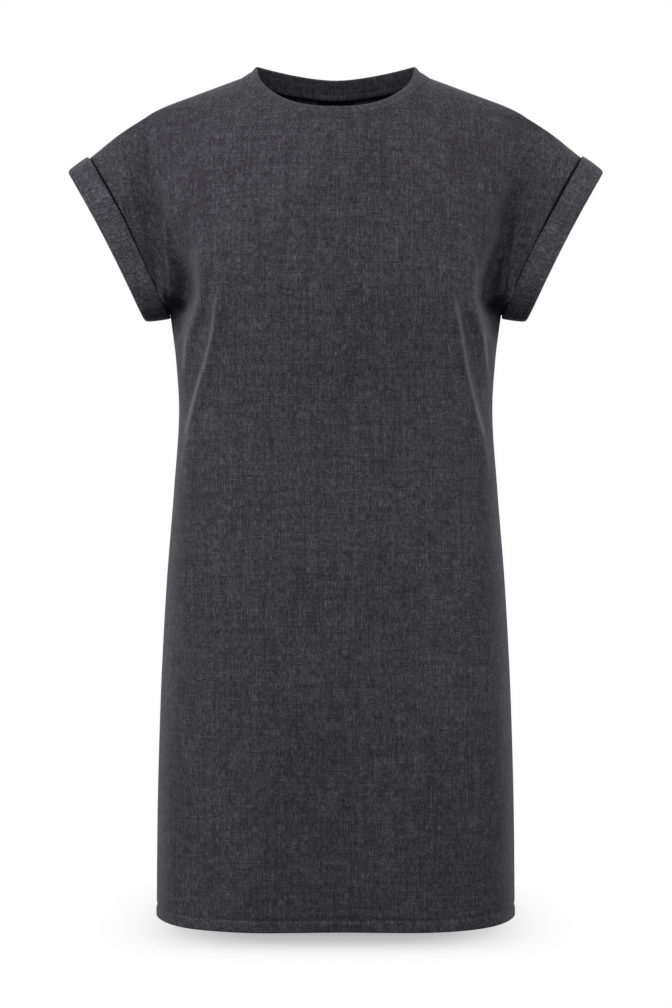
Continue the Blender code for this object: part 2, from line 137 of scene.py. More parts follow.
def closed(ring):
    """A ring's places, with the first one again at its end."""
    return np.concatenate([ring, ring[:1]])


print("a soft step at its quarter:", ease(0.25))

# %% [markdown]
# A line through the rows of a table could be a spline with handles, but that can swell past its
# rows. `curve_through` never does: between two rows it stays between their values, like a line
# drawn with a French curve on paper.


# %% A smooth curve through a table
def curve_through(places, values, at):
    """The curve's value at each place that is asked for."""
    places, values = np.asarray(places, float), np.asarray(values, float)
    steps = np.diff(places)
    slopes = np.diff(values) / steps
    tangents = np.zeros(len(values))
    tangents[0], tangents[-1] = slopes[0], slopes[-1]
    for i in range(1, len(slopes)):
        a, b = slopes[i - 1], slopes[i]
        tangents[i] = 0.0 if a * b <= 0 else 2 * a * b / (a + b)
    at = np.clip(at, places[0], places[-1])
    i = np.clip(np.searchsorted(places, at, side="right") - 1, 0, len(steps) - 1)
    t = (at - places[i]) / steps[i]
    return (
        values[i] * (1 + 2 * t) * (1 - t) ** 2
        + values[i + 1] * t * t * (3 - 2 * t)
        + steps[i] * t * (1 - t) * (tangents[i] * (1 - t) - tangents[i + 1] * t)
    )


print("a curve through 0, 1, 0 at its quarter:", curve_through([0, 1, 2], [0, 1, 0], 0.5))

# %% [markdown]
# ## The form of a panel
#
# A panel is one piece of jersey that hangs from the shoulders. It could be cut flat, sewn up and
# dropped on a body by a cloth simulation, but then its size is only as good as the simulation.
# Here its form is a formula, so that every point lies where the sizes say. Below the underarm it
# is half of a level ring, which is rounder close to the side seam.

# %% Below the underarm
SIDE_SQUARENESS = 2.0  # of every ring close to the side seams
SIDE_BLEND = 6  # more keeps a ring's own squareness further out


def ring_depth(share, squareness):
    """How deep a ring is by the share of the way out: 1 at its middle and 0 at the side seam."""
    power = mix(squareness, SIDE_SQUARENESS, share**SIDE_BLEND)
    return np.maximum(0.0, 1 - share**power) ** (1 / power)


def body_cloth(panel, across, height):
    """Points of level rings. Across runs from -1 at one side seam to 1 at the other."""
    heights = column(BODY_SECTIONS, "height")
    half_width, depth, squareness = [
        curve_through(heights, column(BODY_SECTIONS, name), height)
        for name in ("half_width", WAY[panel], "squareness")
    ]
    angle = across * pi / 2
    x, _ = square_round(np.sin(angle), np.cos(angle), squareness)
    depth = depth * ring_depth(np.abs(x), squareness)
    return np.stack(np.broadcast_arrays(x * half_width, panel * depth, height), -1)


print("width at the underarm, mm:", round(2 * body_cloth(FRONT, 1.0, UNDERARM_HEIGHT)[0] / MM))

# %% [markdown]
# Above the underarm both panels lean in until they meet in the shoulder seam. They could be lofted
# between drawn sections, but two numbers say it better: how long the cloth stays upright before it
# falls back, and how round it is. They change on the way from the middle of the chest to the side.

# %% Over the shoulders
Shoulder = namedtuple("Shoulder", "across front_fall front_rounding back_fall back_rounding")
SHOULDERS = [
    Shoulder(0.0, 3.58, 1.30, 3.11, 1.54),
    Shoulder(0.33, 2.73, 1.39, 2.54, 1.86),
    Shoulder(1.0, 2.30, 2.00, 2.30, 2.00),
]
NECK_RIDGE_CLIMB = 0.0176  # the shoulders' ridge runs on over the neck's hole, this much higher
YOKE_FLARE = 0.13  # how much the rings widen on the way up


def shoulder_height(x):
    """The height of the shoulder seam, and of the shoulders' ridge over the neck's hole."""
    x = np.abs(x)
    places = [Place(NECK_SEAM_HALF_WIDTH, NECK_SEAM_HIGH), *SHOULDER_SEAM, SLEEVE_TOP]
    seam = curve_through(column(places, "x"), column(places, "z"), x)
    ridge = NECK_SEAM_HIGH + NECK_RIDGE_CLIMB * (1 - (x / NECK_SEAM_HALF_WIDTH) ** 2)
    return np.where(x < NECK_SEAM_HALF_WIDTH, ridge, seam)


def shoulder_form(panel, across):
    """How the panel falls back and how round it is, by the share of the way out to the side."""
    forms = []
    for number in ("_fall", "_rounding"):
        at_centre, at_neck, at_side = column(SHOULDERS, WAY[panel] + number)
        neck = SHOULDERS[1].across
        inner = mix(at_centre, at_neck, ease(across / neck))
        outer = mix(at_neck, at_side, ease((across - neck) / (1 - neck)))
        forms.append(np.where(across < neck, inner, outer))
    return forms


def yoke_ring(panel, x, z):
    """The share of the way out to the sleeve's end, and the depth before the shoulder closes."""
    ring = BODY_SECTIONS[-1]
    up = z - UNDERARM_HEIGHT
    reach = mix(ring.half_width, SLEEVE_TOP.x, up / (SLEEVE_TOP.z - UNDERARM_HEIGHT))
    out = np.minimum(1.0, np.abs(x) / reach)
    across = np.minimum(1.0, np.abs(x) / (ring.half_width + YOKE_FLARE * up))
    return out, getattr(ring, WAY[panel]) * ring_depth(across, ring.squareness)


print("top of the sleeve's end, mm:", round(float(shoulder_height(SLEEVE_TOP.x)) / MM, 1))

# %% [markdown]
# The neck seam is a rounded oval, seen from above, and it has to lie on both panels. The form of a
# panel gives a depth for each height, and here the depth is known. The formula could be turned
# round on paper, but a few steps towards the height that fits are simpler and just as exact.

# %% The neck seam
NECK_SEAM_DEPTH = {FRONT: 0.0830, BACK: 0.0460}
NECK_SEAM_SQUARENESS = {FRONT: 1.85, BACK: 1.86}
SEAM_SEARCHES = 12


def neck_seam(panel, angle):
    """The neck seam on one panel. Angle 0 is the centre front, and 90 the wearer's left."""
    across, along = np.sin(np.radians(angle)), np.cos(np.radians(angle))
    x, y = square_round(across, along, NECK_SEAM_SQUARENESS[panel])
    x, depth = x * NECK_SEAM_HALF_WIDTH, np.abs(y) * NECK_SEAM_DEPTH[panel]
    z = np.full_like(x, NECK_SEAM_HIGH)
    for _ in range(SEAM_SEARCHES):
        out, full = yoke_ring(panel, x, z)
        fall, rounding = shoulder_form(panel, out)
        rise = (1 - (depth / full) ** rounding) ** (1 / fall)
        z = mix(UNDERARM_HEIGHT, shoulder_height(x), rise)
    return np.stack([x, panel * depth, z], -1)


print("centre front of the neck seam, mm:", np.round(neck_seam(FRONT, np.zeros(1))[0] / MM, 1))

# %% [markdown]
# A sleeve that is laid flat ends in a straight line, but on an arm its end is a flat oval, and its
# middle is drawn in a little. It could be a circle, squashed, but that is too pointed at both ends.

# %% The opening of a sleeve
CUFF_OPEN_HALF = 0.0470  # half of the sleeve's opening, from front to back
CUFF_SQUARENESS = 2.3
CUFF_BOW = 0.0034  # how far the line of the sleeve's end is drawn in at its middle


def opening(rise):
    """How open the end is, by the share of the way up from the underarm: 1 at the middle."""
    return np.maximum(0.0, 1 - np.abs(2 * rise - 1) ** CUFF_SQUARENESS) ** (1 / CUFF_SQUARENESS)


def cuff_axis(side):
    """The way out along the sleeve, square to its end. Side is -1 for the right and 1 for the left."""
    up = np.array([SLEEVE_TOP.x - CUFF_UNDER_END.x, SLEEVE_TOP.z - CUFF_UNDER_END.z])
    up = up / np.hypot(*up)
    return np.array([side * up[1], 0.0, -up[0]])


def bow(side, rise):
    """A shallow arch, 0 at both ends and CUFF_BOW half way up."""
    return (CUFF_BOW * 4 * rise * (1 - rise))[..., None] * cuff_axis(side)


print("sleeve's opening, front to back, mm:", round(2 * CUFF_OPEN_HALF / MM))

# %% [markdown]
# The sleeves are grown on, so no seam may show between them and the body. A tube joined on by a
# boolean would leave one. Instead the cloth rises in straight lines, seen from the front, from the
# underarm to the neck seam and the shoulder seam, and the roundness of the sleeve is blended into
# that of the body.

# %% The yoke and its sleeves
NECK_SHARE = 0.5  # of the way across, the columns of a panel end on the neck seam
NECK_SIDE, NECK_BACK = 90, 180  # degrees round the neck from its front; the panels meet at 90
SLEEVE_FROM = 0.42  # of the way out, where the sleeve's roundness begins
SLEEVE_HANG = 1.4  # more puts the fullest place of the sleeve higher
SLEEVE_END_BLEND, BOW_BLEND = 8, 6  # more keeps the opening's form and its bow closer to the end
FULLNESS_BLEND = 3  # more makes a harder valley between the body and the sleeve
RUN_ON_FADE = 3  # how soon the body's slope at the underarm dies away above it
DOWN = 0.001  # over which that slope is measured


def panel_top(panel, across):
    """The upper edge of a panel: the neck seam, and out from it the shoulder seam."""
    angle = NECK_SIDE * np.clip(across / NECK_SHARE, -1, 1)
    at_neck = neck_seam(panel, angle if panel == FRONT else NECK_BACK - angle)
    x = mix(NECK_SEAM_HALF_WIDTH, SLEEVE_TOP.x, (np.abs(across) - NECK_SHARE) / (1 - NECK_SHARE))
    at_shoulder = np.stack([np.where(across >= 0, x, -x), np.zeros_like(x), shoulder_height(x)], -1)
    return np.where((np.abs(across) <= NECK_SHARE)[..., None], at_neck, at_shoulder)


def yoke_cloth(panel, across, rise):
    """Points above the underarm, for grids of across -1 to 1 and rise 0 to 1."""
    across, rise = np.broadcast_arrays(np.asarray(across, float), np.asarray(rise, float))
    low, top = body_cloth(panel, across, UNDERARM_HEIGHT), panel_top(panel, across)
    x, z = mix(low[..., 0], top[..., 0], rise), mix(low[..., 2], top[..., 2], rise)
    out, full = yoke_ring(panel, x, z)
    fall, rounding = shoulder_form(panel, out)
    climb = shoulder_height(x) - UNDERARM_HEIGHT
    up = np.clip((z - UNDERARM_HEIGHT) / climb, 0.0, 1.0)
    body_depth = full * (1 - up**fall) ** (1 / rounding)
    just_below = body_cloth(panel, across, UNDERARM_HEIGHT - DOWN)
    slope = (np.abs(low[..., 1]) - np.abs(just_below[..., 1])) / DOWN
    run_on = slope * climb * up * (1 - up) ** RUN_ON_FADE
    swell = mix(np.sin(pi * up**SLEEVE_HANG), opening(rise), out**SLEEVE_END_BLEND)
    swell = swell * ease((out - SLEEVE_FROM) / (1 - SLEEVE_FROM))
    fullness = (body_depth + run_on) ** FULLNESS_BLEND + (CUFF_OPEN_HALF * swell) ** FULLNESS_BLEND
    points = np.stack([x, panel * fullness ** (1 / FULLNESS_BLEND), z], -1)
    drawn_in = np.where((across >= 0)[..., None], bow(1, rise), bow(-1, rise))
    return points - drawn_in * (np.abs(across) ** BOW_BLEND)[..., None]


print("outer end of the shoulder seam, mm:", np.round(yoke_cloth(FRONT, [1.0], [1.0])[0] / MM, 1))

# %% [markdown]
# The cuff covers the last part of the sleeve, but not inside, where it shows through the opening.
# A sleeve that stopped short would leave a gap there. So the cloth runs on under the cuff, in
# straight lines from the panel's last column to the cuff's fold.


# %% The sleeve's end
def sleeve_end(panel, side, reach, rise):
    """The part of the sleeve that the cuff covers, reach 0 to 1 along it."""
    reach, rise = np.broadcast_arrays(np.asarray(reach, float), np.asarray(rise, float))
    start = yoke_cloth(panel, np.full_like(rise, side), rise)
    x = mix(CUFF_UNDER_END.x, CUFF_TOP_END.x, rise)
    z = mix(CUFF_UNDER_END.z, CUFF_TOP_END.z, rise)
    end = np.stack([side * x, start[..., 1], z], -1) - bow(side, rise)
    return mix(start, end, reach[..., None])


at_middle = sleeve_end(FRONT, 1, [0.0, 1.0], [0.5, 0.5])
print("width of the cuff at its middle, mm:", round(np.linalg.norm(np.diff(at_middle, axis=0)) / MM, 1))

# %% [markdown]
# ## Creases
#
# Jersey that hangs from a shoulder gathers a few soft folds where the sleeve meets the body, and
# they run on down the side into the waist. They could be simulated, but a simulation puts them
# where it likes. Here each one is listed: a route over the panel, seen from the front, how
# deep it is along the way, and how wide. A negative depth is a ridge.

# %% The creases of the front, on the wearer's right
# How wide each side of a crease is, towards the sleeve and towards the body, in millimetres. Each
# place on its route is x, z and how far the cloth is pushed in there, in millimetres too.
Crease = namedtuple("Crease", "outward inward route")
CREASES = {FRONT: [], BACK: []}
CREASES[FRONT] += [
    # the sleeve's hollow, a soft rib, and the fold under the arm
    Crease(9, 7, [(-191, -115, 1), (-189, -135, 2), (-186, -150, 2), (-184, -165, 0)]),
    Crease(6, 7, [
        (-169, -108, -1), (-169, -118, -4), (-169, -138, -4), (-171, -160, -4), (-173, -174, -3),
    ]),
    Crease(7, 7, [
        (-178, -138, -1), (-176, -150, -4), (-173, -166, -7), (-171, -190, -13), (-170, -226, -14),
    ]),
    Crease(12, 9, [
        (-161, -157, 3), (-155, -178, 12), (-151, -190, 22), (-148, -203, 31), (-147, -215, 37),
        (-148, -228, 37),
    ]),
    Crease(9, 8, [
        (-152, -228, 2), (-156, -236, 34), (-158, -244, 36), (-159, -255, 32), (-160, -272, 1),
    ]),
    # the ridge beside it, and the long thin one that runs into the waist
    Crease(4, 9, [
        (-132, -176, -1), (-134, -190, -6), (-135, -220, -8), (-137, -236, -7), (-140, -246, -4),
    ]),
    Crease(3.5, 8, [
        (-137, -236, -1), (-140, -244, -4), (-143, -253, -6), (-146, -263, -6), (-149, -280, -5),
        (-154, -310, -1),
    ]),
    Crease(3.2, 11, [
        (-117, -218, -1), (-119, -237, -5), (-121, -253, -7), (-126, -276, -7), (-134, -310, -7),
        (-153, -390, -4),
    ]),
    Crease(4, 4, [(-212, -122, 0.2), (-207, -142, 1.2), (-203, -160, 0.3)]),
]
print("creases on the wearer's right:", len(CREASES[FRONT]))

# %% [markdown]
# On the wearer's left there is one broad fold, and the same ridges lie closer together. Blender could
# mirror the right side, but no two sides of a worn dress are alike, and the eye notices at once.

# %% The creases of the front, on the wearer's left
CREASES[FRONT] += [
    Crease(11, 9, [(184, -103, 1), (180, -120, 4), (175, -140, 4), (170, -155, 2)]),
    Crease(7, 8, [
        (180, -122, -1), (179, -140, -5), (177, -165, -8), (173, -190, -12), (171, -226, -14),
    ]),
    Crease(12, 9, [
        (170, -133, 3), (168, -148, 8), (165, -163, 13), (162, -178, 19), (152, -203, 33), (148, -228, 37),
    ]),
    Crease(9, 8, [
        (152, -228, 2), (156, -236, 34), (158, -244, 36), (159, -255, 32), (160, -272, 1),
    ]),
    Crease(4, 9, [
        (135, -182, -1), (136, -198, -5), (137, -220, -7), (139, -236, -7), (141, -246, -4),
    ]),
    Crease(3.5, 8, [
        (139, -236, -1), (141, -244, -4), (143, -253, -6), (146, -263, -6), (149, -280, -5), (153, -310, -1),
    ]),
    Crease(3.2, 11, [
        (118, -226, -1), (120, -240, -4), (122, -254, -7), (126, -276, -7), (134, -311, -7), (151, -388, -4),
    ]),
    Crease(4, 4, [(222, -80, 0.2), (221, -98, 1.0), (221, -118, 0.2)]),
    Crease(4, 4, [(208, -140, 0.2), (203, -152, 1.2), (200, -166, 0.2)]),
]
print("creases of the front:", len(CREASES[FRONT]))

# %% [markdown]
# The back hangs from the same shoulders, so it has the same kinds of fold, shallower and higher,
# listed as well.

# %% The creases of the back
CREASES[BACK] += [
    Crease(11, 8, [(-188, -100, 1), (-182, -140, 4), (-176, -165, 2)]),
    Crease(12, 9, [
        (-162, -172, 8), (-153, -200, 26), (-151, -226, 32), (-155, -246, 26), (-159, -268, 1),
    ]),
    Crease(5, 8, [(-139, -230, -1), (-143, -255, -5), (-149, -285, -5), (-154, -320, -1)]),
    Crease(4, 9, [(-114, -230, -1), (-123, -275, -5), (-137, -335, -5), (-152, -395, -3)]),
    Crease(12, 9, [(190, -105, 1), (182, -140, 5), (175, -165, 3)]),
    Crease(12, 9, [(166, -160, 5), (156, -192, 22), (151, -224, 32), (155, -245, 27), (159, -268, 1)]),
    Crease(5, 8, [(140, -230, -1), (144, -258, -5), (150, -290, -5), (154, -325, -1)]),
    Crease(4, 9, [(112, -240, -1), (122, -290, -5), (137, -345, -4), (152, -405, -3)]),
    Crease(14, 14, [(-60, -300, 0), (0, -312, 1.2), (66, -298, 0)]),
]
print("creases of the back:", len(CREASES[BACK]))

# %% [markdown]
# A crease needs to know how far each point is from its route. Blender's curves could carry the
# routes, but the points aren't in a mesh yet, so a route is cut into short steps and each point
# looks for its nearest one.

# %% Beside a route
ROUTE_STEPS = 40
TINY = 1e-6


def beside(line, x, z):
    """How far places are out from a line and beyond its ends, and the line's value beside them."""
    route = np.array(line.route, float) * MM
    stops = lengths_along(route[:, :2], 0)
    at = np.linspace(0, stops[-1], ROUTE_STEPS)
    steps = np.stack([curve_through(stops, route[:, k], at) for k in range(2)], -1)
    place = np.stack([x, z], -1)
    nearest = np.argmin(np.linalg.norm(place[..., None, :] - steps, axis=-1), axis=-1)
    gap = place - steps[nearest]
    run = unit(np.gradient(steps, axis=0))[nearest]
    off = gap[..., 0] * run[..., 1] - gap[..., 1] * run[..., 0]
    out = off * np.sign(run[..., 1]) * np.sign(steps[nearest][..., 0])
    along = at[nearest] + (gap * run).sum(-1)
    reached = np.clip(along, 0, stops[-1])
    return out, along - reached, curve_through(stops, route[:, 2], reached)


neck_to_crease = abs(beside(CREASES[FRONT][0], np.zeros(1), np.zeros(1))[0][0])
print("from the neck to the first crease, mm:", round(neck_to_crease / MM))

# %% [markdown]
# Creases add up, as soft troughs with rounded ends, and a crease may be steep on one side and
# gentle on the other. The skirt has a few wide waves besides, deepest at the hem and gone at the
# hip. No crease may push the cloth through the middle of the dress, however deep it is, so the
# push dies away as it gets near.

# %% How far the cloth is pushed in
Wave = namedtuple("Wave", "panel centre depth half_width")
HEM_WAVES = [
    Wave(FRONT, -0.080, -0.0040, 0.034),
    Wave(FRONT, 0.006, 0.0020, 0.030),
    Wave(FRONT, 0.095, -0.0040, 0.036),
    Wave(BACK, -0.100, -0.0035, 0.032),
    Wave(BACK, -0.020, 0.0020, 0.034),
    Wave(BACK, 0.070, -0.0040, 0.030),
]
WAVE_TOP = -0.560  # at the hip, where the waves are gone
SEAM_ROOM = 0.003  # between the panels' middle and the deepest crease
RIDGE_ROOM = 0.020  # a ridge is lower where the panels are closer than this to the middle


def crease_depth(panel, x, z):
    """How far the creases push the cloth in at places seen from the front."""
    total = np.zeros_like(x)
    for crease in CREASES[panel]:
        out, beyond, depth = beside(crease, x, z)
        wide = np.where(out > 0, crease.outward, crease.inward) * MM
        total += depth * np.exp(-(np.hypot(out, beyond) / wide) ** 2)
    for wave in HEM_WAVES:
        if wave.panel == panel:
            fade = ease((WAVE_TOP - z) / (WAVE_TOP - HEM_HEIGHT))
            total += wave.depth * fade * np.exp(-(((x - wave.centre) / wave.half_width) ** 2))
    return total


def push_in(points, panel, depth):
    """Moves cloth towards the middle of the dress, but never through it."""
    room = np.maximum(np.abs(points[..., 1]) - SEAM_ROOM, TINY)
    pushed = np.where(depth > 0, room * np.tanh(depth / room), depth * np.minimum(1, room / RIDGE_ROOM))
    moved = points.copy()
    moved[..., 1] -= panel * pushed
    return moved


print("waves at the hem:", len(HEM_WAVES))

# %% [markdown]
# ## Painted highlights on the ridges
#
# Where a ridge is sharp, light catches it in a thin pale line. It could be left to the lamps, but
# the line is thinner than the cloth's grid. So the line is a painted highlight: each point of the
# cloth carries how far the nearest line is and how strong the highlight is there, and the finish
# paints it sharp between the points.

# %% The painted highlight lines
# how far a line reaches to either side and its places in millimetres, and in hundredths how
# strong its painted highlight is there
PaleLine = namedtuple("PaleLine", "reach route")
HUNDREDTHS = 100
FAR = 4.0  # reaches away, for points that have no line beside them
HIGHLIGHT_LINES = {}
HIGHLIGHT_LINES[FRONT] = [
    PaleLine(9, [
        (-140, -172, 0), (-138, -196, 35), (-137, -225, 35), (-141, -245, 40), (-149, -266, 10),
    ]),
    PaleLine(4, [
        (-141, -240, 5), (-145, -254, 45), (-149, -264, 70), (-151, -280, 75), (-154, -305, 0),
    ]),
    PaleLine(4, [
        (-113, -217, 5), (-119, -239, 55), (-122, -264, 85), (-129, -292, 95), (-142, -331, 100),
        (-152, -366, 60),
    ]),
    PaleLine(8, [(138, -176, 0), (140, -200, 30), (138, -216, 35), (142, -242, 35), (148, -264, 10)]),
    PaleLine(4, [(141, -238, 5), (145, -252, 60), (148, -263, 90), (150, -280, 90), (154, -310, 10)]),
    PaleLine(4, [
        (115, -226, 5), (121, -248, 60), (126, -277, 90), (132, -307, 100), (138, -331, 100), (149, -366, 90),
    ]),
]
HIGHLIGHT_LINES[BACK] = [
    PaleLine(5, [(-138, -238, 0), (-144, -262, 40), (-149, -290, 40), (-154, -315, 0)]),
    PaleLine(5, [(-115, -240, 0), (-124, -277, 45), (-137, -335, 45), (-151, -385, 0)]),
    PaleLine(5, [(139, -238, 0), (145, -265, 40), (150, -292, 30), (154, -315, 0)]),
    PaleLine(5, [(112, -250, 0), (122, -292, 45), (137, -347, 40), (151, -395, 0)]),
]


def pale_lines(panel, x, z):
    """How many reaches places are from the nearest painted highlight, and how strong it is there."""
    away, highlight_share = np.full_like(x, FAR), np.zeros_like(x)
    for line in HIGHLIGHT_LINES[panel]:
        out, beyond, here = beside(line, x, z)
        out = out / (line.reach * MM)
        closer = (np.abs(out) < np.abs(away)) & (beyond == 0)
        away = np.where(closer, out, away)
        highlight_share = np.where(closer, here / MM / HUNDREDTHS, highlight_share)
    return away, highlight_share


print("pale lines:", sum(map(len, HIGHLIGHT_LINES.values())))

# %% [markdown]
# ## From points to cloth
#
# `new_piece` turns points and faces into a named object. Each piece also gets a map called
# "cloth", in metres measured along the cloth, so that the knit runs the way it was cut. The maps
# could be unwrapped by Blender, but that would lose the direction of the wales.

# %% Making a piece
SHARP_EDGE = 55  # degrees between two faces, from where their edge looks cut


def new_piece(name, points, faces, cloth_map, finish):
    """Faces are rows of point numbers, and cloth_map has one place for each of their corners."""
    mesh = bpy.data.meshes.new(name)
    mesh.from_pydata(np.asarray(points).tolist(), [], np.asarray(faces).tolist())
    layer = mesh.uv_layers.new(name="cloth")
    layer.data.foreach_set("uv", np.asarray(cloth_map, float).reshape(-1))
    tidy = bmesh.new()
    tidy.from_mesh(mesh)
    bmesh.ops.recalc_face_normals(tidy, faces=tidy.faces)
    tidy.to_mesh(mesh)
    tidy.free()
    mesh.shade_smooth()
    mesh.set_sharp_from_angle(angle=radians(SHARP_EDGE))
    mesh.materials.append(finish)
    piece = bpy.data.objects.new(name, mesh)
    bpy.context.scene.collection.objects.link(piece)
    return piece


def total_area(piece):
    return sum(face.area for face in piece.data.polygons)


print("edges sharper than", SHARP_EDGE, "degrees stay crisp")

# %% [markdown]
# Cloth needs two sides and rounded edges, or light shines through it and its edges look like
# paper. A Solidify modifier could add the second side, but it makes every wall equally thick, and
# the hem is turned up. So both sides are grids of their own, and `two_sided` sews them together
# round the rim.


# %% Walls of cloth
def grid_normals(points):
    """The direction each point of a grid faces, from the points round it."""
    by_row, by_column = np.zeros_like(points), np.zeros_like(points)
    by_row[1:-1] = points[2:] - points[:-2]
    by_row[0], by_row[-1] = points[1] - points[0], points[-1] - points[-2]
    by_column[:, 1:-1] = points[:, 2:] - points[:, :-2]
    by_column[:, 0], by_column[:, -1] = points[:, 1] - points[:, 0], points[:, -1] - points[:, -2]
    return np.cross(by_column, by_row)


def two_sided(name, outer, inner, cloth_map, finish):
    """A closed wall between two grids. Places that are nan have no cloth."""
    there = ~np.isnan(outer[..., 0])
    count = int(there.sum())
    number = np.full(there.shape, -1)
    number[there] = np.arange(count)
    whole = there[:-1, :-1] & there[1:, :-1] & there[:-1, 1:] & there[1:, 1:]
    r, c = np.nonzero(whole)
    quads = np.stack([number[r, c], number[r, c + 1], number[r + 1, c + 1], number[r + 1, c]], 1)
    ways = {(a, b) for quad in quads.tolist() for a, b in zip(quad, quad[1:] + quad[:1])}
    rim = np.array([(b, a, a + count, b + count) for a, b in sorted(ways) if (b, a) not in ways])
    faces = np.concatenate([quads, quads[:, ::-1] + count, rim])
    places = np.concatenate([cloth_map[there], cloth_map[there]])
    points = np.concatenate([outer[there], inner[there]])
    return new_piece(name, points, faces, places[faces], finish)


def swept_ring(name, sections, along, across, finish):
    """A closed ring through sections of equally many points, along measured round the ring."""
    stations, size = sections.shape[:2]
    i, j = [index.reshape(-1) for index in np.mgrid[0:stations, 0:size]]
    after_i, after_j = (i + 1) % stations, (j + 1) % size
    faces = np.stack([i * size + j, after_i * size + j, after_i * size + after_j, i * size + after_j], 1)
    u = np.stack([along[i], along[i + 1], along[i + 1], along[i]], 1)
    v = np.stack([across[j], across[j], across[j + 1], across[j + 1]], 1)
    return new_piece(name, sections.reshape(-1, 3), faces, np.stack([u, v], -1), finish)


corner = np.array([[[0.0, 0, 0], [1, 0, 0]], [[0, 0, 1], [1, 0, 1]]])
print("a grid that runs along x and then up faces", (unit(grid_normals(corner))[0, 0] + 0.0).tolist())

# %% [markdown]
# ## Colours and nodes
#
# Colours are written as a dyer's shade card would give them, as hex values for a screen, and one
# function turns them into the linear values that the renderer counts in. Each node could be added
# in three or four lines of its own, but the finishes have many. So one small function adds a node,
# sets its settings and plugs its inputs in, and every finish is built with it.


# %% Helpers for the finishes
def linear(hex_colour):
    """The standard sRGB curve, turned round."""
    channels = [int(hex_colour[i : i + 2], 16) / 255 for i in (1, 3, 5)]
    return (*[c / 12.92 if c <= 0.04045 else ((c + 0.055) / 1.055) ** 2.4 for c in channels], 1.0)


def add(tree, kind, inputs=None, **settings):
    """Adds a node. An input is a value, a socket, or a node whose first output in use feeds it."""
    made = tree.nodes.new(kind)
    for name, value in settings.items():
        setattr(made, name, value)
    for name, value in (inputs or {}).items():
        if isinstance(value, bpy.types.Node):
            value = next(output for output in value.outputs if output.enabled)
        if isinstance(value, bpy.types.NodeSocket):
            tree.links.new(value, made.inputs[name])
        else:
            made.inputs[name].default_value = value
    return made


def new_material(name):
    """An empty finish, and the tree that its nodes go into."""
    material = bpy.data.materials.new(name)
    material.use_nodes = True
    material.node_tree.nodes.clear()
    return material, material.node_tree


print("charcoal in linear light:", [round(c, 4) for c in linear("#403f44")])

# %% [markdown]
# ## Marl jersey
#
# Marl is spun from light and dark fibres together, so the yarn is flecked: a charcoal marl has
# grey flecks on near black. The flecks could come from a scanned swatch, but that blurs close up
# and shows where it repeats. Layers of noise don't. Most are drawn out along the wales, the
# upright columns of loops, and some along the rows. All their sizes are in metres of real cloth.

# %% The flecks
# how wide and how long its flecks are, how much finer noise is in it, and its share of the shade
Layer = namedtuple("Layer", "wide long detail share")
FLECKS = [
    Layer(0.0011, 0.0066, 2.0, None),  # upright flecks
    Layer(0.0055, 0.0011, 2.0, None),  # level ones
    Layer(0.0095, 0.0095, 1.0, None),  # patches where they turn from upright to level
]
MIXED_IN = [
    Layer(0.0020, 0.0020, 3.0, 0.38),  # specks
    Layer(0.0012, 0.0450, 1.0, 0.18),  # long thin threads along the wales
    Layer(0.0350, 0.0012, 1.0, 0.12),  # and along the rows of loops
    Layer(0.0095, 0.0095, 1.0, 0.10),  # blotches
    Layer(0.0700, 0.0700, 2.0, 0.05),  # slow changes of shade
]
LAYER_SHIFT = 2.9  # from one layer's noise to the next one's
TURN_FROM, TURN_TO = 0.51, 0.60  # the patches' noise where level flecks take over


def fleck_shade(tree, cloth):
    """How light the yarn is at each place in the cloth, around a half."""
    noises = []
    for number, layer in enumerate(FLECKS + MIXED_IN):
        scale, shift = (1 / layer.wide, 1 / layer.long, 1), [number * LAYER_SHIFT] * 3
        place = add(tree, "ShaderNodeMapping", {"Vector": cloth, "Scale": scale, "Location": shift})
        settings = {"Vector": place, "Scale": 1.0, "Detail": layer.detail}
        noises.append(add(tree, "ShaderNodeTexNoise", settings))
    upright, level, patch, *others = noises
    turn = add(tree, "ShaderNodeMapRange", {"Value": patch, "From Min": TURN_FROM, "From Max": TURN_TO})
    shade = add(tree, "ShaderNodeMix", {"Factor": turn, "A": upright, "B": level})
    for layer, noise in zip(MIXED_IN, others):
        shade = add(tree, "ShaderNodeMix", {"Factor": layer.share, "A": shade, "B": noise})
    return shade


print("layers of noise:", len(FLECKS) + len(MIXED_IN))

# %% [markdown]
# The knit also knows where the cloth is folded. A sharp ridge gets its thin painted highlight, from
# what the points carry. Shade gathers in a narrow hollow, but shadows alone leave such hollows too
# pale, so ambient occlusion, which measures how shut in a place is, paints shade into the yarn's
# colour there.

# %% Ridges and hollows
PAINTED_HIGHLIGHT = "#5a585e"  # the painted highlight that a sharp ridge's line adds to the knit's colour
HIGHLIGHT_POWER = 2.0  # how quickly it fades to its sides
HOLLOW_REACH = 0.025  # folds narrower than this get painted shade
HOLLOW_SHUT, HOLLOW_OPEN = 0.06, 0.42  # how open a place is at the darkest, and where it ends
# the colour of the painted shade in the narrowest hollows
PAINTED_SHADE_TONE = "#2c2c2f"
HOLLOW_RAYS = 8


# paints the ridges' highlight lines into the knit's colour, from what the points carry
def with_painted_highlights(tree, colour):
    away = add(tree, "ShaderNodeAttribute", attribute_name="pale_line_away").outputs["Fac"]
    strength = add(tree, "ShaderNodeAttribute", attribute_name="pale_line_strength").outputs["Fac"]
    away = add(tree, "ShaderNodeMath", {0: away}, operation="ABSOLUTE")
    near = add(tree, "ShaderNodeMath", {0: 1.0, 1: away}, operation="SUBTRACT", use_clamp=True)
    near = add(tree, "ShaderNodeMath", {0: near, 1: HIGHLIGHT_POWER}, operation="POWER")
    on_line = add(tree, "ShaderNodeMath", {0: near, 1: strength}, operation="MULTIPLY")
    tones = {"Factor": on_line, "A": colour, "B": linear(PAINTED_HIGHLIGHT)}
    return add(tree, "ShaderNodeMix", tones, data_type="RGBA", blend_type="ADD")
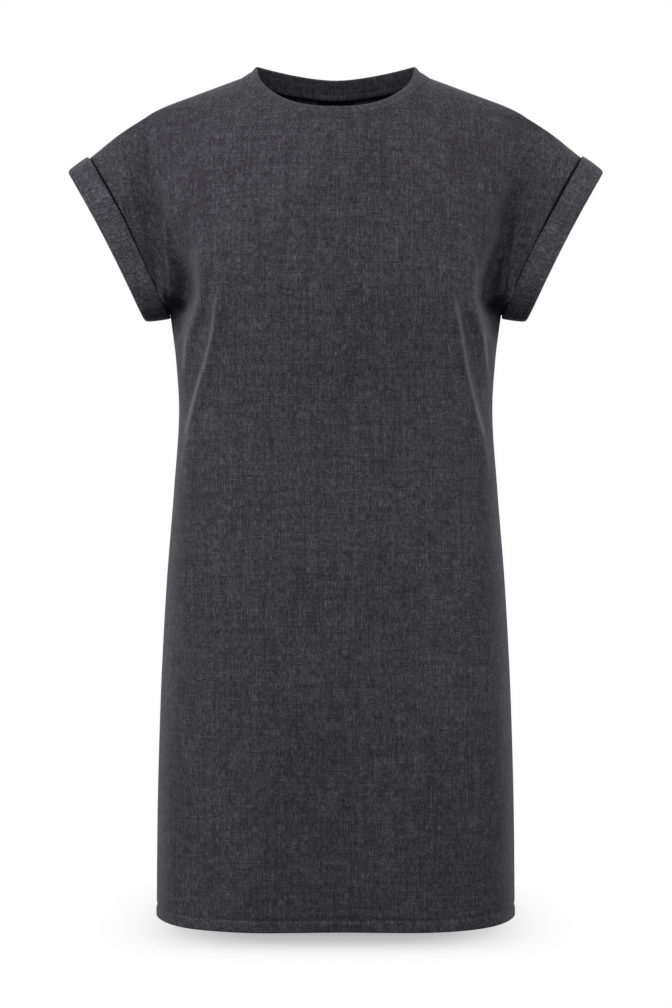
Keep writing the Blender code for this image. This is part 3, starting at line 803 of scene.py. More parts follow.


# paints shade into the knit's colour where ambient occlusion finds it shut in
def with_painted_shade(tree, colour):
    rays = {"samples": HOLLOW_RAYS}
    clear = add(tree, "ShaderNodeAmbientOcclusion", {"Distance": HOLLOW_REACH}, **rays).outputs["AO"]
    clear = {"Value": clear, "From Min": HOLLOW_SHUT, "From Max": HOLLOW_OPEN}
    clear = add(tree, "ShaderNodeMapRange", clear)
    tones = {"Factor": clear, "A": linear(PAINTED_SHADE_TONE), "B": colour}
    return add(tree, "ShaderNodeMix", tones, data_type="RGBA")


print("hollows narrower than", HOLLOW_REACH / MM, "mm are darkened")

# %% [markdown]
# Jersey has no shine: it is rough, with a weak reflection for a fibre of cotton. But the tiny ends
# of its fibres stand up and catch light that grazes them, which pales the edges of every round
# form. A second, paler shader could be mixed in at the edges for that. The sheen of the
# Principled shader does the same with one number, and it is made for cloth.

# %% The surface of a knit
SHEEN_TINT = "#c9c9d2"
KNIT_SURFACE = {  # what every knit here has in common
    "Roughness": 0.92,
    "Specular IOR Level": 0.25,
    "Sheen Roughness": 0.30,
    "Sheen Tint": linear(SHEEN_TINT),
}


def give_surface(tree, height, relief, inputs):
    """Ends a finish: its relief, its shader and its output."""
    bump = add(tree, "ShaderNodeBump", {"Height": height, "Distance": relief, "Strength": 1.0})
    shader = add(tree, "ShaderNodeBsdfPrincipled", {**inputs, "Normal": bump})
    add(tree, "ShaderNodeOutputMaterial", {"Surface": shader})


print("roughness of a knit:", KNIT_SURFACE["Roughness"])

# %% [markdown]
# The wales could be modelled loop by loop, at millions of faces. A bump is enough for a relief of
# a quarter of a millimetre. A real wale is about 0.8 mm wide, too fine to show, so it is drawn at
# twice that. The rib's is a little wider.
#
# The cuffs show the knit's wrong side, which is lighter, because its loops lie across. Inside
# the neck hardly any light arrives, so the band's inside is a copy of the rib with painted shade:
# darker, with little sheen.

# %% The jersey and the rib
WALE, RIB_WALE = 0.0017, 0.0021
WAVE_PERIOD = 0.31416  # of the wave texture at a scale of 1
KNIT_RELIEF, RIB_RELIEF = 0.00022, 0.00029
FLECK_RELIEF = 0.55  # the flecks' share of the relief, and the rest is the wales'
SHADE_LOW, SHADE_HIGH = 0.388, 0.634  # the noise that makes the darkest and the lightest yarn
FLECK_POWER = 1.8  # the light flecks are fewer than the dark ones


def marl_knit(name, dark, light, wale, relief, sheen):
    """A flecked knit from its darkest to its lightest yarn, with wales this wide and high."""
    material, tree = new_material(name)
    cloth = add(tree, "ShaderNodeUVMap", uv_map="cloth")
    shade = fleck_shade(tree, cloth)
    spread = {"Value": shade, "From Min": SHADE_LOW, "From Max": SHADE_HIGH}
    spread = add(tree, "ShaderNodeMapRange", spread)
    spread = add(tree, "ShaderNodeMath", {0: spread, 1: FLECK_POWER}, operation="POWER")
    tones = {"Factor": spread, "A": linear(dark), "B": linear(light)}
    colour = add(tree, "ShaderNodeMix", tones, data_type="RGBA")
    # a painted highlight on the ridges, then painted shade in the hollows
    colour = with_painted_shade(tree, with_painted_highlights(tree, colour))
    bands = {"Vector": cloth, "Scale": WAVE_PERIOD / wale, "Distortion": 0.0}
    wales = add(tree, "ShaderNodeTexWave", bands, wave_type="BANDS", bands_direction="X").outputs["Fac"]
    height = add(tree, "ShaderNodeMix", {"Factor": FLECK_RELIEF, "A": wales, "B": shade})
    give_surface(tree, height, relief, {**KNIT_SURFACE, "Base Color": colour, "Sheen Weight": sheen})
    return material


# fine grey flecks and no shine, and a pale bloom where light grazes the cloth
jersey = marl_knit("charcoal_marl_jersey", "#2e2c33", "#67666d", WALE, KNIT_RELIEF, sheen=0.42)
# loops that lie across catch more light, so the turned cloth is paler and softer
wrong_side = marl_knit(
    "charcoal_marl_jersey_wrong_side", "#35333a", "#75747b", WALE, KNIT_RELIEF, sheen=0.44
)
# knitted closer, so it is a tone darker, with clearer upright lines
rib = marl_knit("charcoal_marl_rib", "#2b2930", "#69686f", RIB_WALE, RIB_RELIEF, sheen=0.40)
# the same rib with painted shade for the dark of the neck: nearly black, and without the bloom
rib_painted_shade = marl_knit(
    "charcoal_marl_rib_inside", "#1f1f22", "#4e4d52", RIB_WALE, RIB_RELIEF, sheen=0.15
)
print("finishes:", jersey.name, wrong_side.name, rib.name, rib_painted_shade.name)

# %% [markdown]
# ## Thread and label
#
# Sewing thread is spun polyester, dyed to the cloth, a little smoother and darker than the knit.
# The label is woven satin: flat, close and with a faint gleam, and it carries nothing. A weave of
# crossing bands could be drawn on both, but they are too small to show one. A fine grain in the
# relief is enough to keep them from looking like plastic.

# %% The thread and the label's satin
GRAIN = 0.0011  # the twist of a thread
GRAIN_RELIEF = 0.00008


def plain_finish(name, colour, roughness, specular, sheen):
    """One even colour, with a fine grain in its relief."""
    material, tree = new_material(name)
    place = add(tree, "ShaderNodeTexCoord").outputs["Object"]
    noise = add(tree, "ShaderNodeTexNoise", {"Vector": place, "Scale": 1 / GRAIN, "Detail": 2.0})
    inputs = {"Roughness": roughness, "Specular IOR Level": specular, "Sheen Weight": sheen}
    give_surface(tree, noise, GRAIN_RELIEF, {**inputs, "Base Color": linear(colour)})
    return material


# spun and dyed to match, with a soft gleam along each stitch
thread = plain_finish(
    "spun_polyester_thread", "#2b2a2f", roughness=0.62, specular=0.35, sheen=0.1
)
# woven flat and close: even black, with a faint gleam and no bloom
satin = plain_finish("woven_satin", "#131315", roughness=0.42, specular=0.45, sheen=0.0)
print("finishes:", thread.name, satin.name)

# %% [markdown]
# ## The front and the back
#
# Each panel is one grid of points: rows up the body and then up to the shoulder, columns from side
# seam to side seam, with a few more for the part of the sleeve that the cuff covers. A subdivided
# coarse grid would be shorter to write, but its points would be as far apart where nothing
# happens as where the cloth turns sharply. Here they crowd together at the seams and at the hem.

# %% The columns and rows of a panel
FOLDS_FROM = 0.38  # of the way across, where the long thin ridges begin
CHEST_COLUMNS, RIDGE_COLUMNS, SIDE_COLUMNS = 13, 15, 72
LAST_COLUMNS = 1 - np.array([0.0135, 0.0090, 0.0060, 0.0035, 0.0015, 0.0])
LAST_COLUMNS_ROOM = 0.003  # to the column before them
HEM_TURNING = 0.012
BODY_ROWS = 98
BODY_CROWD = 1.3  # how much the rows crowd towards the underarm
STITCHES_ROOM, UNDERARM_ROOM = 0.001, 0.0005  # to the rows of the body between them
HEM_ROWS = np.array([0.0, 0.0003, 0.0008, 0.0016, 0.0028])
STITCH_ROWS = np.array([-0.0045, -0.003, -0.0016, -0.0008, 0, 0.0008, 0.0016, 0.003, 0.0045])
YOKE_ROWS = 90
YOKE_CROWD = 0.6  # how much they crowd at both ends
LAST_ROWS = np.array([0.66, 0.40, 0.20])  # of a step short of the top


def panel_columns():
    """Shares of the way across, from -1 at one side seam to 1 at the other."""
    chest = np.linspace(0, FOLDS_FROM, CHEST_COLUMNS + 1)[:-1]
    ridges = np.linspace(FOLDS_FROM, NECK_SHARE, RIDGE_COLUMNS + 1)
    outer = np.linspace(NECK_SHARE, 1, SIDE_COLUMNS + 1)[1:-1]
    outer = outer[outer < LAST_COLUMNS[0] - LAST_COLUMNS_ROOM]
    half = np.concatenate([chest, ridges, outer, LAST_COLUMNS])
    return np.concatenate([-half[:0:-1], half])


def panel_heights():
    """The heights of the rows from the hem up to just below the underarm."""
    up = 1 - (1 - np.linspace(0, 1, BODY_ROWS + 1)[1:-1]) ** BODY_CROWD
    stitched = HEM_HEIGHT + HEM_TURNING + STITCH_ROWS
    above = mix(HEM_HEIGHT, UNDERARM_HEIGHT, up)
    above = above[(above > stitched[-1] + STITCHES_ROOM) & (above < UNDERARM_HEIGHT - UNDERARM_ROOM)]
    return np.concatenate([HEM_HEIGHT + HEM_ROWS, stitched, above])


def panel_rises():
    """Shares of the way from the underarm up to the top, for the rows of the yoke."""
    steps = np.linspace(0, 1, YOKE_ROWS + 1)
    last = 1 - steps[1] * LAST_ROWS
    steps = np.sort(np.concatenate([steps, last]))
    return mix(steps, (1 - np.cos(pi * steps)) / 2, YOKE_CROWD)


print("columns:", len(panel_columns()), " rows:", len(panel_heights()) + len(panel_rises()))

# %% [markdown]
# The grid of the body and the grid of the yoke are laid edge to edge at the underarm, with the
# sleeves' ends at their sides. They could be pieces of their own, but then their edges would
# show. Below the underarm there is no cloth beside the body, so the grid holds nan there, which
# stands for "not a number".

# %% The grid of a panel
SLEEVE_REACHES = np.array([0.05, 0.12, 0.22, 0.45, 0.72, 1.0])
HIDDEN = len(SLEEVE_REACHES)  # columns at each side, under the cuffs


def panel_grid(panel):
    """The smooth panel, before creases. The sleeves' columns exist only above the underarm."""
    columns, heights, rises = panel_columns(), panel_heights(), panel_rises()
    body = body_cloth(panel, columns[None, :], heights[:, None])
    yoke = yoke_cloth(panel, columns[None, :], rises[:, None])
    nothing = np.full((len(heights), HIDDEN, 3), np.nan)
    left = np.concatenate([nothing, sleeve_end(panel, 1, SLEEVE_REACHES[None, :], rises[:, None])])
    right = np.concatenate([nothing, sleeve_end(panel, -1, SLEEVE_REACHES[None, ::-1], rises[:, None])])
    return np.concatenate([right, np.concatenate([body, yoke]), left], axis=1), len(heights)


smooth_front, underarm_row = panel_grid(FRONT)
print("the grid of a panel:", smooth_front.shape[:2], " the underarm is row", underarm_row)

# %% [markdown]
# The wales of a knit hang straight down even where the panel's own columns lean out to the sleeve.
# A map of rows and columns would bend the wales with them, so each point's place in the cloth is
# added up along the cloth's level and upward directions instead. For that, and to give the wall
# its thickness, each point also needs the way it faces.

# %% Which way the cloth faces, and its map
PANEL_SHIFT = 1.7  # so that the two panels' flecks differ


def facing_of(points, panel, underarm):
    """The way each point of a panel faces."""
    facing = np.full_like(points, np.nan)
    yoke = grid_normals(points[underarm:])
    facing[underarm:] = yoke
    facing[:, HIDDEN:-HIDDEN] = grid_normals(points[:, HIDDEN:-HIDDEN])
    sides = [HIDDEN, points.shape[1] - 1 - HIDDEN]
    facing[underarm:, sides] = yoke[:, sides]
    return unit(facing) * -panel


def places_in_cloth(points, facing, panel):
    """Each point's place in the flat cloth, across the wales and along them, in metres."""
    level = np.stack([-facing[..., 1] - panel * np.abs(facing[..., 2]), facing[..., 0]], -1)
    level = np.concatenate([level, np.zeros_like(level[..., :1])], -1)
    level = unit(level - facing * (level * facing).sum(-1, keepdims=True))
    upward = np.cross(facing, level)
    by_row, by_column = np.diff(points, axis=1), np.diff(points, axis=0)
    across = added_up((by_row * level[:, 1:]).sum(-1), 1)
    across -= across[:, [points.shape[1] // 2]]
    up = added_up((by_column * upward[1:]).sum(-1), 0)
    sideways_up = added_up((by_row * upward[:, 1:]).sum(-1), 1)
    for hidden, side in ((slice(0, HIDDEN), HIDDEN), (slice(-HIDDEN, None), -HIDDEN - 1)):
        up[:, hidden] = up[:, [side]] + sideways_up[:, hidden] - sideways_up[:, [side]]
    return np.stack([across + PANEL_SHIFT * panel, up], -1)


looks_to = facing_of(smooth_front, FRONT, underarm_row)[0]
print("the middle of the front's hem faces", np.round(looks_to[len(looks_to) // 2], 2))

# %% [markdown]
# Sewing changes a panel along its edges: they roll in at the seams, the hem is turned up and drawn
# in by its stitches, and the sleeve sinks away under the free edge of the cuff, so that the edge
# stays in shadow. Each could be a strip of its own, laid on the panel, but strips show where they
# end. So each is a dip of the panel's own grid. First, what each point of the grid has to know.

# %% What a panel's points know
CUFF_RETURN = 0.45  # of the way along the cuff, where the sleeve is back on its form
Spots = namedtuple("Spots", "row across underarm hidden on_seam to_top above_underarm past_cuff stays")


def spots_of(points, underarm):
    """Where the points of a panel's grid are, seen from its edges and from the cuffs."""
    rows, columns = points.shape[:2]
    row, col = np.arange(rows)[:, None], np.arange(columns)
    first, last = HIDDEN, columns - 1 - HIDDEN
    across = np.abs(np.pad(panel_columns(), HIDDEN, constant_values=1.0))
    hidden = (col < first) | (col > last)
    on_side = ((col == first) | (col == last)) & (row <= underarm)
    on_shoulder = (across >= NECK_SHARE) & (row == rows - 1)
    on_seam = on_side | on_shoulder | (hidden & (row == underarm))
    up, along = lengths_along(points, 0), lengths_along(points, 1)
    start, end = along[:, [first]], along[:, [last]]
    past_cuff = np.maximum(start - along, along - end)
    width = np.where(col < first, start, along[:, [-1]] - end)
    stays = 1 - hidden * ease(past_cuff / (CUFF_RETURN * np.maximum(width, TINY)))
    return Spots(row, across, underarm, hidden, on_seam, up[-1] - up, up - up[underarm], past_cuff, stays)


print("points of a panel that the cuffs hide:", 2 * HIDDEN * len(panel_rises()))

# %% [markdown]
# A seam is a shallow valley, deepest right at the stitches, and it is nearly flat at the centre of
# the neck, where the cloth is sewn on stretched. The hem's edge is rounded as a fold is, the
# turning stands a little proud, and the row of stitches draws a second valley above it.

# %% What the sewing does
JERSEY = 0.0013  # how thick the cloth is
SEAM_DIP, SEAM_SOFT = 0.0009, 0.0011
NECK_SEAM_FLAT = 0.15  # the share of the dip that is left at the centre of the neck
STITCH_DIP, STITCH_SOFT = 0.0009, 0.0021
FOLD_RADIUS, FOLD_THIN = 0.0013, 0.0006  # of the cloth at the hem's edge
TURNED_CLOTH = 0.0010  # what the hem's second layer adds inside
HEM_PROUD = 0.0003
CUFF_HOLLOW = 0.0046  # how deep the sleeve sinks under the cuff's free edge
CUFF_HOLLOW_FROM, CUFF_HOLLOW_TO = 0.0016, 0.0002
CUFF_HOLLOW_SEAM = 0.05  # the share of the way up from the underarm over which it fades in


def seam_dip(spots):
    """How far the cloth rolls in beside its seams."""
    from_seam = np.where(spots.row > spots.underarm, spots.to_top, -spots.past_cuff)
    from_seam = np.where(spots.hidden, spots.above_underarm, from_seam)
    dip = SEAM_DIP * np.exp(-((from_seam / SEAM_SOFT) ** 2))
    return dip * mix(NECK_SEAM_FLAT, 1.0, np.minimum(1.0, spots.across / NECK_SHARE) ** 2)


def hem_dip_and_thickness(above_hem):
    """How far in the cloth lies at each height above the hem, and how thick it is."""
    fold = np.clip(1 - above_hem / FOLD_RADIUS, 0, 1)
    turned = ease((HEM_TURNING + STITCH_SOFT - above_hem) / (2 * STITCH_SOFT))
    dip = FOLD_RADIUS * (1 - np.sqrt(1 - fold**2)) - HEM_PROUD * turned
    dip += STITCH_DIP * np.exp(-(((above_hem - HEM_TURNING) / STITCH_SOFT) ** 2))
    return dip, mix(JERSEY + TURNED_CLOTH * turned, FOLD_THIN, fold)


def cuff_dip(spots, height):
    """How far the sleeve sinks at the free edge of the cuff."""
    rise = np.clip((height - UNDERARM_HEIGHT) / (SLEEVE_TOP.z - UNDERARM_HEIGHT), 0, 1)
    sinks = ease((spots.past_cuff + CUFF_HOLLOW_FROM) / (CUFF_HOLLOW_FROM + CUFF_HOLLOW_TO))
    sinks *= spots.stays * ease(rise / CUFF_HOLLOW_SEAM) * ease((1 - rise) / CUFF_HOLLOW_SEAM)
    return np.where(spots.row >= spots.underarm, CUFF_HOLLOW * sinks, 0.0)


hem_thickness = hem_dip_and_thickness(np.array([0.0, HEM_TURNING / 2]))[1]
print("thickness of the hem's edge and turning, mm:", np.round(hem_thickness / MM, 1))

# %% [markdown]
# Now everything comes together: the smooth form, its creases, its edges, and the wall between the
# outer and the inner side. The two panels meet in the middle, less than a hair apart, because light
# would shine through a wider gap.

# %% The front and the back
NECK_CREASE_FADE = 0.016  # creases die away this close to the neck seam
SEAM_GAP = 0.00005  # between the two panels


def keep_on_points(piece, name, values, inside):
    """Gives each point of a wall's outer side its value, and all of its inner side the same one."""
    layer = piece.data.attributes.new(name, "FLOAT", "POINT")
    layer.data.foreach_set("value", np.concatenate([values, np.full_like(values, inside)]))


def make_panel(name, panel, finish):
    """A whole panel as a wall of cloth. The hem's stitches need its points again."""
    points, underarm = panel_grid(panel)
    spots = spots_of(points, underarm)
    across_and_up = points[..., 0], points[..., 2]
    away, highlight_share = pale_lines(panel, *across_and_up)
    fade = np.where(spots.across < NECK_SHARE, ease(spots.to_top / NECK_CREASE_FADE), 1.0)
    points = push_in(points, panel, crease_depth(panel, *across_and_up) * (fade * spots.stays))
    facing = facing_of(points, panel, underarm)
    cloth_map = places_in_cloth(points, facing, panel)

    # the seams face straight up and sideways, and the hem's edge faces level
    facing[spots.on_seam, 1] = 0.0
    facing[0, :, 2] = 0.0
    facing = unit(facing)

    hem_dip, thick = hem_dip_and_thickness(points[..., 2] - HEM_HEIGHT)
    dip = seam_dip(spots) + hem_dip + cuff_dip(spots, points[..., 2])
    outer = points - facing * dip[..., None]
    inner = outer - facing * thick[..., None]
    for grid in (outer, inner):
        grid[spots.on_seam, 1] = panel * SEAM_GAP / 2
    piece = two_sided(name, outer, inner, cloth_map, finish)
    there = ~np.isnan(outer[..., 0])
    # each point carries how far it is from a painted highlight line, and how strong the highlight is
    keep_on_points(piece, "pale_line_away", away[there], FAR)
    keep_on_points(piece, "pale_line_strength", highlight_share[there], 0.0)
    print(f"{name}: {len(piece.data.polygons)} faces, {total_area(piece) / 2:.3f} m2 of cloth")
    return piece, outer, facing


front, front_outer, front_facing = make_panel("front_cloth", FRONT, jersey)
back, back_outer, back_facing = make_panel("back_cloth", BACK, jersey)

# %% [markdown]
# ## The neck band
#
# The band is a strip of rib, folded double and sewn on a little stretched, so that it lies close.
# It leans back with the shoulders at the sides and stands almost upright behind. A tube along a
# curve would be one thickness everywhere. So its profile is drawn once, from the seam up and over
# the folded edge and down inside, and swept round the neck, wider at the sides.

# %% The neck band's sizes
# its width and its lean from level, by the angle round the neck from the front, in millimetres
# and degrees
BandLean = namedtuple("BandLean", "angle width slope")
BAND_LEANS = [
    BandLean(0, 15.0, 46),
    BandLean(60, 15.0, 26),
    BandLean(92, 18.0, 30),
    BandLean(120, 17.2, 67),
    BandLean(180, 16.7, 76),
]
BandPoint = namedtuple("BandPoint", "up out")  # millimetres from the seam, and from the face
BAND_PROFILE = [BandPoint(*place) for place in (
    # up the outside to the folded edge
    (0.1, -0.9), (0.2, -0.1), (0.9, 0.25), (2.1, 0.35), (3.3, 0.3), (4.6, 0.4), (7.0, 0.6),
    (9.5, 0.6), (12.0, 0.5), (13.6, 0.25), (14.5, -0.25), (14.95, -1.1),
    # and down the inside
    (14.6, -1.9), (13.6, -2.2), (10.0, -2.2), (6.0, -2.2), (2.0, -2.2), (0.3, -2.0),
)]
BAND_DRAWN = 15.0  # the width that the profile is drawn for, in millimetres
BAND_INSIDE_UP, BAND_INSIDE_OUT = 13.7, -1.8  # the part of the profile that faces the neck
print("places in the band's profile:", len(BAND_PROFILE))

# %% [markdown]
# At each station round the neck the profile needs two directions: up towards the folded edge, and
# out of the cloth. A curve's own bevel would choose them by itself, and twist. Here both come
# from the way the seam runs and from the band's lean. The part of the profile that faces the
# neck gets the rib with painted shade.

# %% The neck band
BAND_STATIONS = 300


def band_curves():
    """Round the neck: the seam, the way to the folded edge, the way out, and the width."""
    angles = np.linspace(-NECK_BACK, NECK_BACK, BAND_STATIONS, endpoint=False)
    in_front = np.abs(angles) <= NECK_SIDE
    seam = np.where(in_front[:, None], neck_seam(FRONT, angles), neck_seam(BACK, angles))
    run = unit(np.roll(seam, -1, 0) - np.roll(seam, 1, 0))
    stops = column(BAND_LEANS, "angle")
    width = curve_through(stops, column(BAND_LEANS, "width"), np.abs(angles))
    slope = np.radians(curve_through(stops, column(BAND_LEANS, "slope"), np.abs(angles)))
    away = unit(np.stack([run[:, 1], -run[:, 0], np.zeros(len(angles))], -1))
    up = np.sin(slope)[:, None] * np.array([0, 0, 1.0]) - np.cos(slope)[:, None] * away
    return seam, up, unit(np.cross(run, up)), width


def make_band():
    """The band, and the seam and the directions that the overlock follows."""
    seam, up, out, width = band_curves()
    profile = np.array(BAND_PROFILE) * MM
    rise = profile[:, 0][None, :, None] * (width / BAND_DRAWN)[:, None, None]
    sections = seam[:, None] + up[:, None] * rise + out[:, None] * profile[:, 1][None, :, None]
    around = lengths_along(closed(seam), 0)
    piece = swept_ring("neck_band_rib", sections, around, lengths_along(closed(profile), 0), rib)
    # the faces inside the neck get the rib with painted shade
    piece.data.materials.append(rib_painted_shade)
    inside = [place.up < BAND_INSIDE_UP and place.out < BAND_INSIDE_OUT for place in BAND_PROFILE]
    piece.data.polygons.foreach_set("material_index", inside * BAND_STATIONS)
    print(f"neck band: {around[-1] / MM:.0f} mm round its seam")
    return piece, seam, up, out


band, seam_line, band_up, band_out = make_band()

# %% [markdown]
# ## The turned-back cuffs
#
# Each sleeve ends in a cuff: the sleeve's own cloth, turned back on itself, so its wrong side
# shows. Its fold is the end of the sleeve, and its free edge lies towards the body, a little off
# the sleeve, with a dark line under it. It could be the sleeve's grid, run on and folded over, but
# a fold that tight needs a profile of its own. So it is drawn once and swept round the opening.

# %% The cuffs' sizes
CuffPoint = namedtuple("CuffPoint", "share past out lift")
# share of the way to the fold, millimetres past that, millimetres out from the sleeve, and how
# much of the free edge's lift is felt there
CUFF_PROFILE = [CuffPoint(*place) for place in (
    # round the free edge
    (0, 2.2, 0.3, 0.9), (0, 1.5, 0.6, 1.0), (0, 1.2, 1.2, 1.0), (0, 1.35, 1.9, 1.0),
    (0, 2.0, 2.4, 1.0), (0, 4.0, 2.65, 0.9),
    # out along the sleeve
    (0.3, 0.0, 2.8, 0.7), (0.5, 0.0, 2.9, 0.5), (0.7, 0.0, 2.85, 0.3), (0.88, 0.0, 2.7, 0.1),
    # over the fold, in under the sleeve and back
    (1, -0.6, 2.45, 0.0), (1, 1.0, 1.9, 0.0), (1, 2.1, 1.0, 0.0), (1, 2.6, -0.1, 0.0),
    (1, 2.3, -1.2, 0.0), (1, 1.3, -1.9, 0.0), (1, 0.4, -2.0, 0.0), (1, 0.3, 0.2, 0.0),
    (0.5, 0.0, 0.3, 0.5),
)]
CUFF_LIFT = 0.0009  # how far the free edge stands off the sleeve, besides
CUFF_LIFT_TOP, CUFF_LIFT_ENDS = 0.2, 0.4  # the shares of it at the shoulder, and at both ends
CUFF_WOBBLE = 0.0005
CUFF_WAVES = [(3, 1.0), (7, 0.6)]  # how many waves go round the edge, and their share
print("places in the cuff's profile:", len(CUFF_PROFILE))

# %% [markdown]
# No sewn edge is quite straight or lies equally close all round. The same profile everywhere
# would look like a pipe. So the free edge lifts most at the middle of the front and the back, and
# it waves by half a millimetre.

# %% The cuffs
CUFF_STATIONS = 220


def cuff_sections(side):
    """The profile at each station round the sleeve, with the sleeve's round and the cuff's width."""
    turn = np.linspace(0, 2 * pi, CUFF_STATIONS, endpoint=False)
    rise = (1 - np.cos(turn)) / 2
    in_front = (turn <= pi)[:, None]
    start, end = [
        np.where(in_front, *[sleeve_end(panel, side, reach, rise) for panel in (FRONT, BACK)])
        for reach in (0.0, 1.0)
    ]
    along = unit(end - start)
    run = unit(np.roll(start, -1, 0) - np.roll(start, 1, 0))
    out = unit(np.cross(run, along)) * -side
    length = np.linalg.norm(end - start, axis=-1)
    share, past, off, lifted = np.array(CUFF_PROFILE).T
    lift = CUFF_LIFT * mix(1.0, CUFF_LIFT_TOP, rise) * mix(CUFF_LIFT_ENDS, 1.0, np.sin(turn) ** 2)
    wobble = CUFF_WOBBLE * sum(part * np.sin(count * turn + side) for count, part in CUFF_WAVES)
    reach = share * length[:, None] + past * MM + wobble[:, None] * (1 - share)
    height = off * MM + lift[:, None] * lifted
    sections = start[:, None] + along[:, None] * reach[..., None] + out[:, None] * height[..., None]
    profile = np.stack([reach[0], height[0]], -1)
    return sections, lengths_along(closed(start), 0), lengths_along(closed(profile), 0), length.mean()


def make_cuff(name, side):
    sections, around, across, width = cuff_sections(side)
    piece = swept_ring(name, sections, around + side, across, wrong_side)
    print(f"{name}: {around[-1] / MM:.0f} mm round, {width / MM:.0f} mm wide")
    return piece


right_cuff = make_cuff("right_cuff_fold", -1)
left_cuff = make_cuff("left_cuff_fold", 1)

# %% [markdown]
# ## The label
#
# A plain black label hangs from the neck seam inside the back. It is sewn along its top edge only,
# so its lower edge stands a little away from the cloth. A flat card would cut through the curved
# back, so the label is a small grid on the same formula as the back, moved in.

# %% The label
LABEL_HALF_WIDTH, LABEL_DROP = 0.0195, 0.0220
LABEL_THICK = 0.0005
LABEL_BELOW_SEAM = 0.0015
LABEL_OFF_CLOTH, LABEL_LIFT = 0.0004, 0.0012  # at its top edge, and how much more at its lower one
LABEL_ROWS, LABEL_COLUMNS = 14, 24


def make_label():
    top = neck_seam(BACK, np.array([NECK_BACK]))[0]
    length = top[2] - UNDERARM_HEIGHT
    reach = np.degrees(np.arcsin(LABEL_HALF_WIDTH / NECK_SEAM_HALF_WIDTH)) / NECK_SIDE * NECK_SHARE
    down, sideways = np.mgrid[0 : LABEL_ROWS + 1, -1 : 1 : (LABEL_COLUMNS + 1) * 1j]
    down = down / LABEL_ROWS
    rise = 1 - (LABEL_BELOW_SEAM + LABEL_DROP * down) / length
    cloth = yoke_cloth(BACK, sideways * reach, rise)
    facing = unit(grid_normals(cloth))
    facing = np.where(facing[..., 1:2] > 0, facing, -facing)
    near = JERSEY + LABEL_OFF_CLOTH + LABEL_LIFT * down**2
    outer = cloth - facing * near[..., None]
    inner = outer - facing * LABEL_THICK
    places = np.stack([sideways * LABEL_HALF_WIDTH, down * LABEL_DROP], -1)
    return two_sided("neck_label_satin", outer, inner, places, satin)


label = make_label()
print("label, mm:", 2 * LABEL_HALF_WIDTH / MM, "x", LABEL_DROP / MM)

# %% [markdown]
# ## Sewing
#
# The hem is held by a row of stitches that shows on the outside. A stitch could be a bump in the
# finish, but real thread lies on the cloth and casts its own small shadow, so each one is a short
# rounded bar of thread, sunk at both ends. First one stitch: its form, and the faces between its
# points.

# %% One stitch
STITCH, STITCH_SPACE = 0.0026, 0.0007
THREAD = 0.00045
STITCH_SIDES = 6
# share of the stitch's length, and how thick and how far out it is, in halves of the thread
StitchPlace = namedtuple("StitchPlace", "share radius out")
STITCH_FORM = [
    StitchPlace(0.0, 0.35, -0.9),
    StitchPlace(0.2, 0.9, -0.1),
    StitchPlace(0.5, 1.0, 0.25),
    StitchPlace(0.8, 0.9, -0.1),
    StitchPlace(1.0, 0.35, -0.9),
]
STITCH_END = np.array([[0, 3, 2, 1], [0, 5, 4, 3]])  # six corners, closed by two faces


def stitch_faces():
    """The faces of one stitch, as the numbers of its points."""
    places = len(STITCH_FORM)
    a, b = [index.reshape(-1) for index in np.mgrid[0 : places - 1, 0:STITCH_SIDES]]
    after = (b + 1) % STITCH_SIDES
    below, above = a * STITCH_SIDES, (a + 1) * STITCH_SIDES
    sides = np.stack([below + b, below + after, above + after, above + b], 1)
    far_end = (places - 1) * STITCH_SIDES + STITCH_END[:, ::-1]
    return np.concatenate([sides, STITCH_END, far_end])


print("faces of a stitch:", len(stitch_faces()))

# %% [markdown]
# The stitches follow the hem all round, front and back as one ring, along the grid's own row at
# the top of the turning. They could be copies of one object on a curve, but that would be hundreds
# of objects. All of them are made at once, in one mesh.


# %% The row of stitches
def sew(name, route, facing):
    """A row of stitches along a closed route of points, on cloth that faces that way."""
    route, facing = closed(route), closed(facing)
    run = lengths_along(route, 0)
    count = int(run[-1] / (STITCH + STITCH_SPACE))
    share, radius, out = np.array(STITCH_FORM).T
    at = np.arange(count)[:, None] * run[-1] / count + share[None] * STITCH
    centre = np.stack([np.interp(at, run, route[:, k]) for k in range(3)], -1)
    up = unit(np.stack([np.interp(at, run, facing[:, k]) for k in range(3)], -1))
    across = unit(np.cross(centre[:, -1:] - centre[:, :1], up))
    turn = np.arange(STITCH_SIDES) * 2 * pi / STITCH_SIDES
    spokes = across[:, :, None] * np.cos(turn)[:, None] + up[:, :, None] * np.sin(turn)[:, None]
    middle = (centre + up * (out * THREAD / 2)[None, :, None])[:, :, None]
    points = (middle + spokes * (radius * THREAD / 2)[None, :, None, None]).reshape(-1, 3)
    firsts = np.arange(count) * STITCH_SIDES * len(share)
    faces = (stitch_faces()[None] + firsts[:, None, None]).reshape(-1, 4)
    piece = new_piece(name, points, faces, points[faces][..., [0, 2]], thread)
    print(f"{name}: {count} stitches of {STITCH / MM:.1f} mm")
    return piece


def hem_row(outer, facing):
    """The row of grid points at the hem's stitching."""
    row = int(np.argmin(np.abs(panel_heights() - HEM_HEIGHT - HEM_TURNING)))
    return outer[row, HIDDEN:-HIDDEN], facing[row, HIDDEN:-HIDDEN]


front_hem, back_hem = hem_row(front_outer, front_facing), hem_row(back_outer, back_facing)
hem_route, hem_facing = [np.concatenate([a, b[::-1]]) for a, b in zip(front_hem, back_hem)]
hem_stitches = sew("hem_stitches", hem_route, hem_facing)

# %% [markdown]
# ## The seam inside the neck
#
# Inside, the band's raw edges are bound together by an overlocker: a rounded ridge of thread. It
# shows inside the back of the neck, just above the label. Its loops could be modelled one by one,
# but in the dark of the neck only an uneven ridge is seen, so a flat ring swells and narrows.

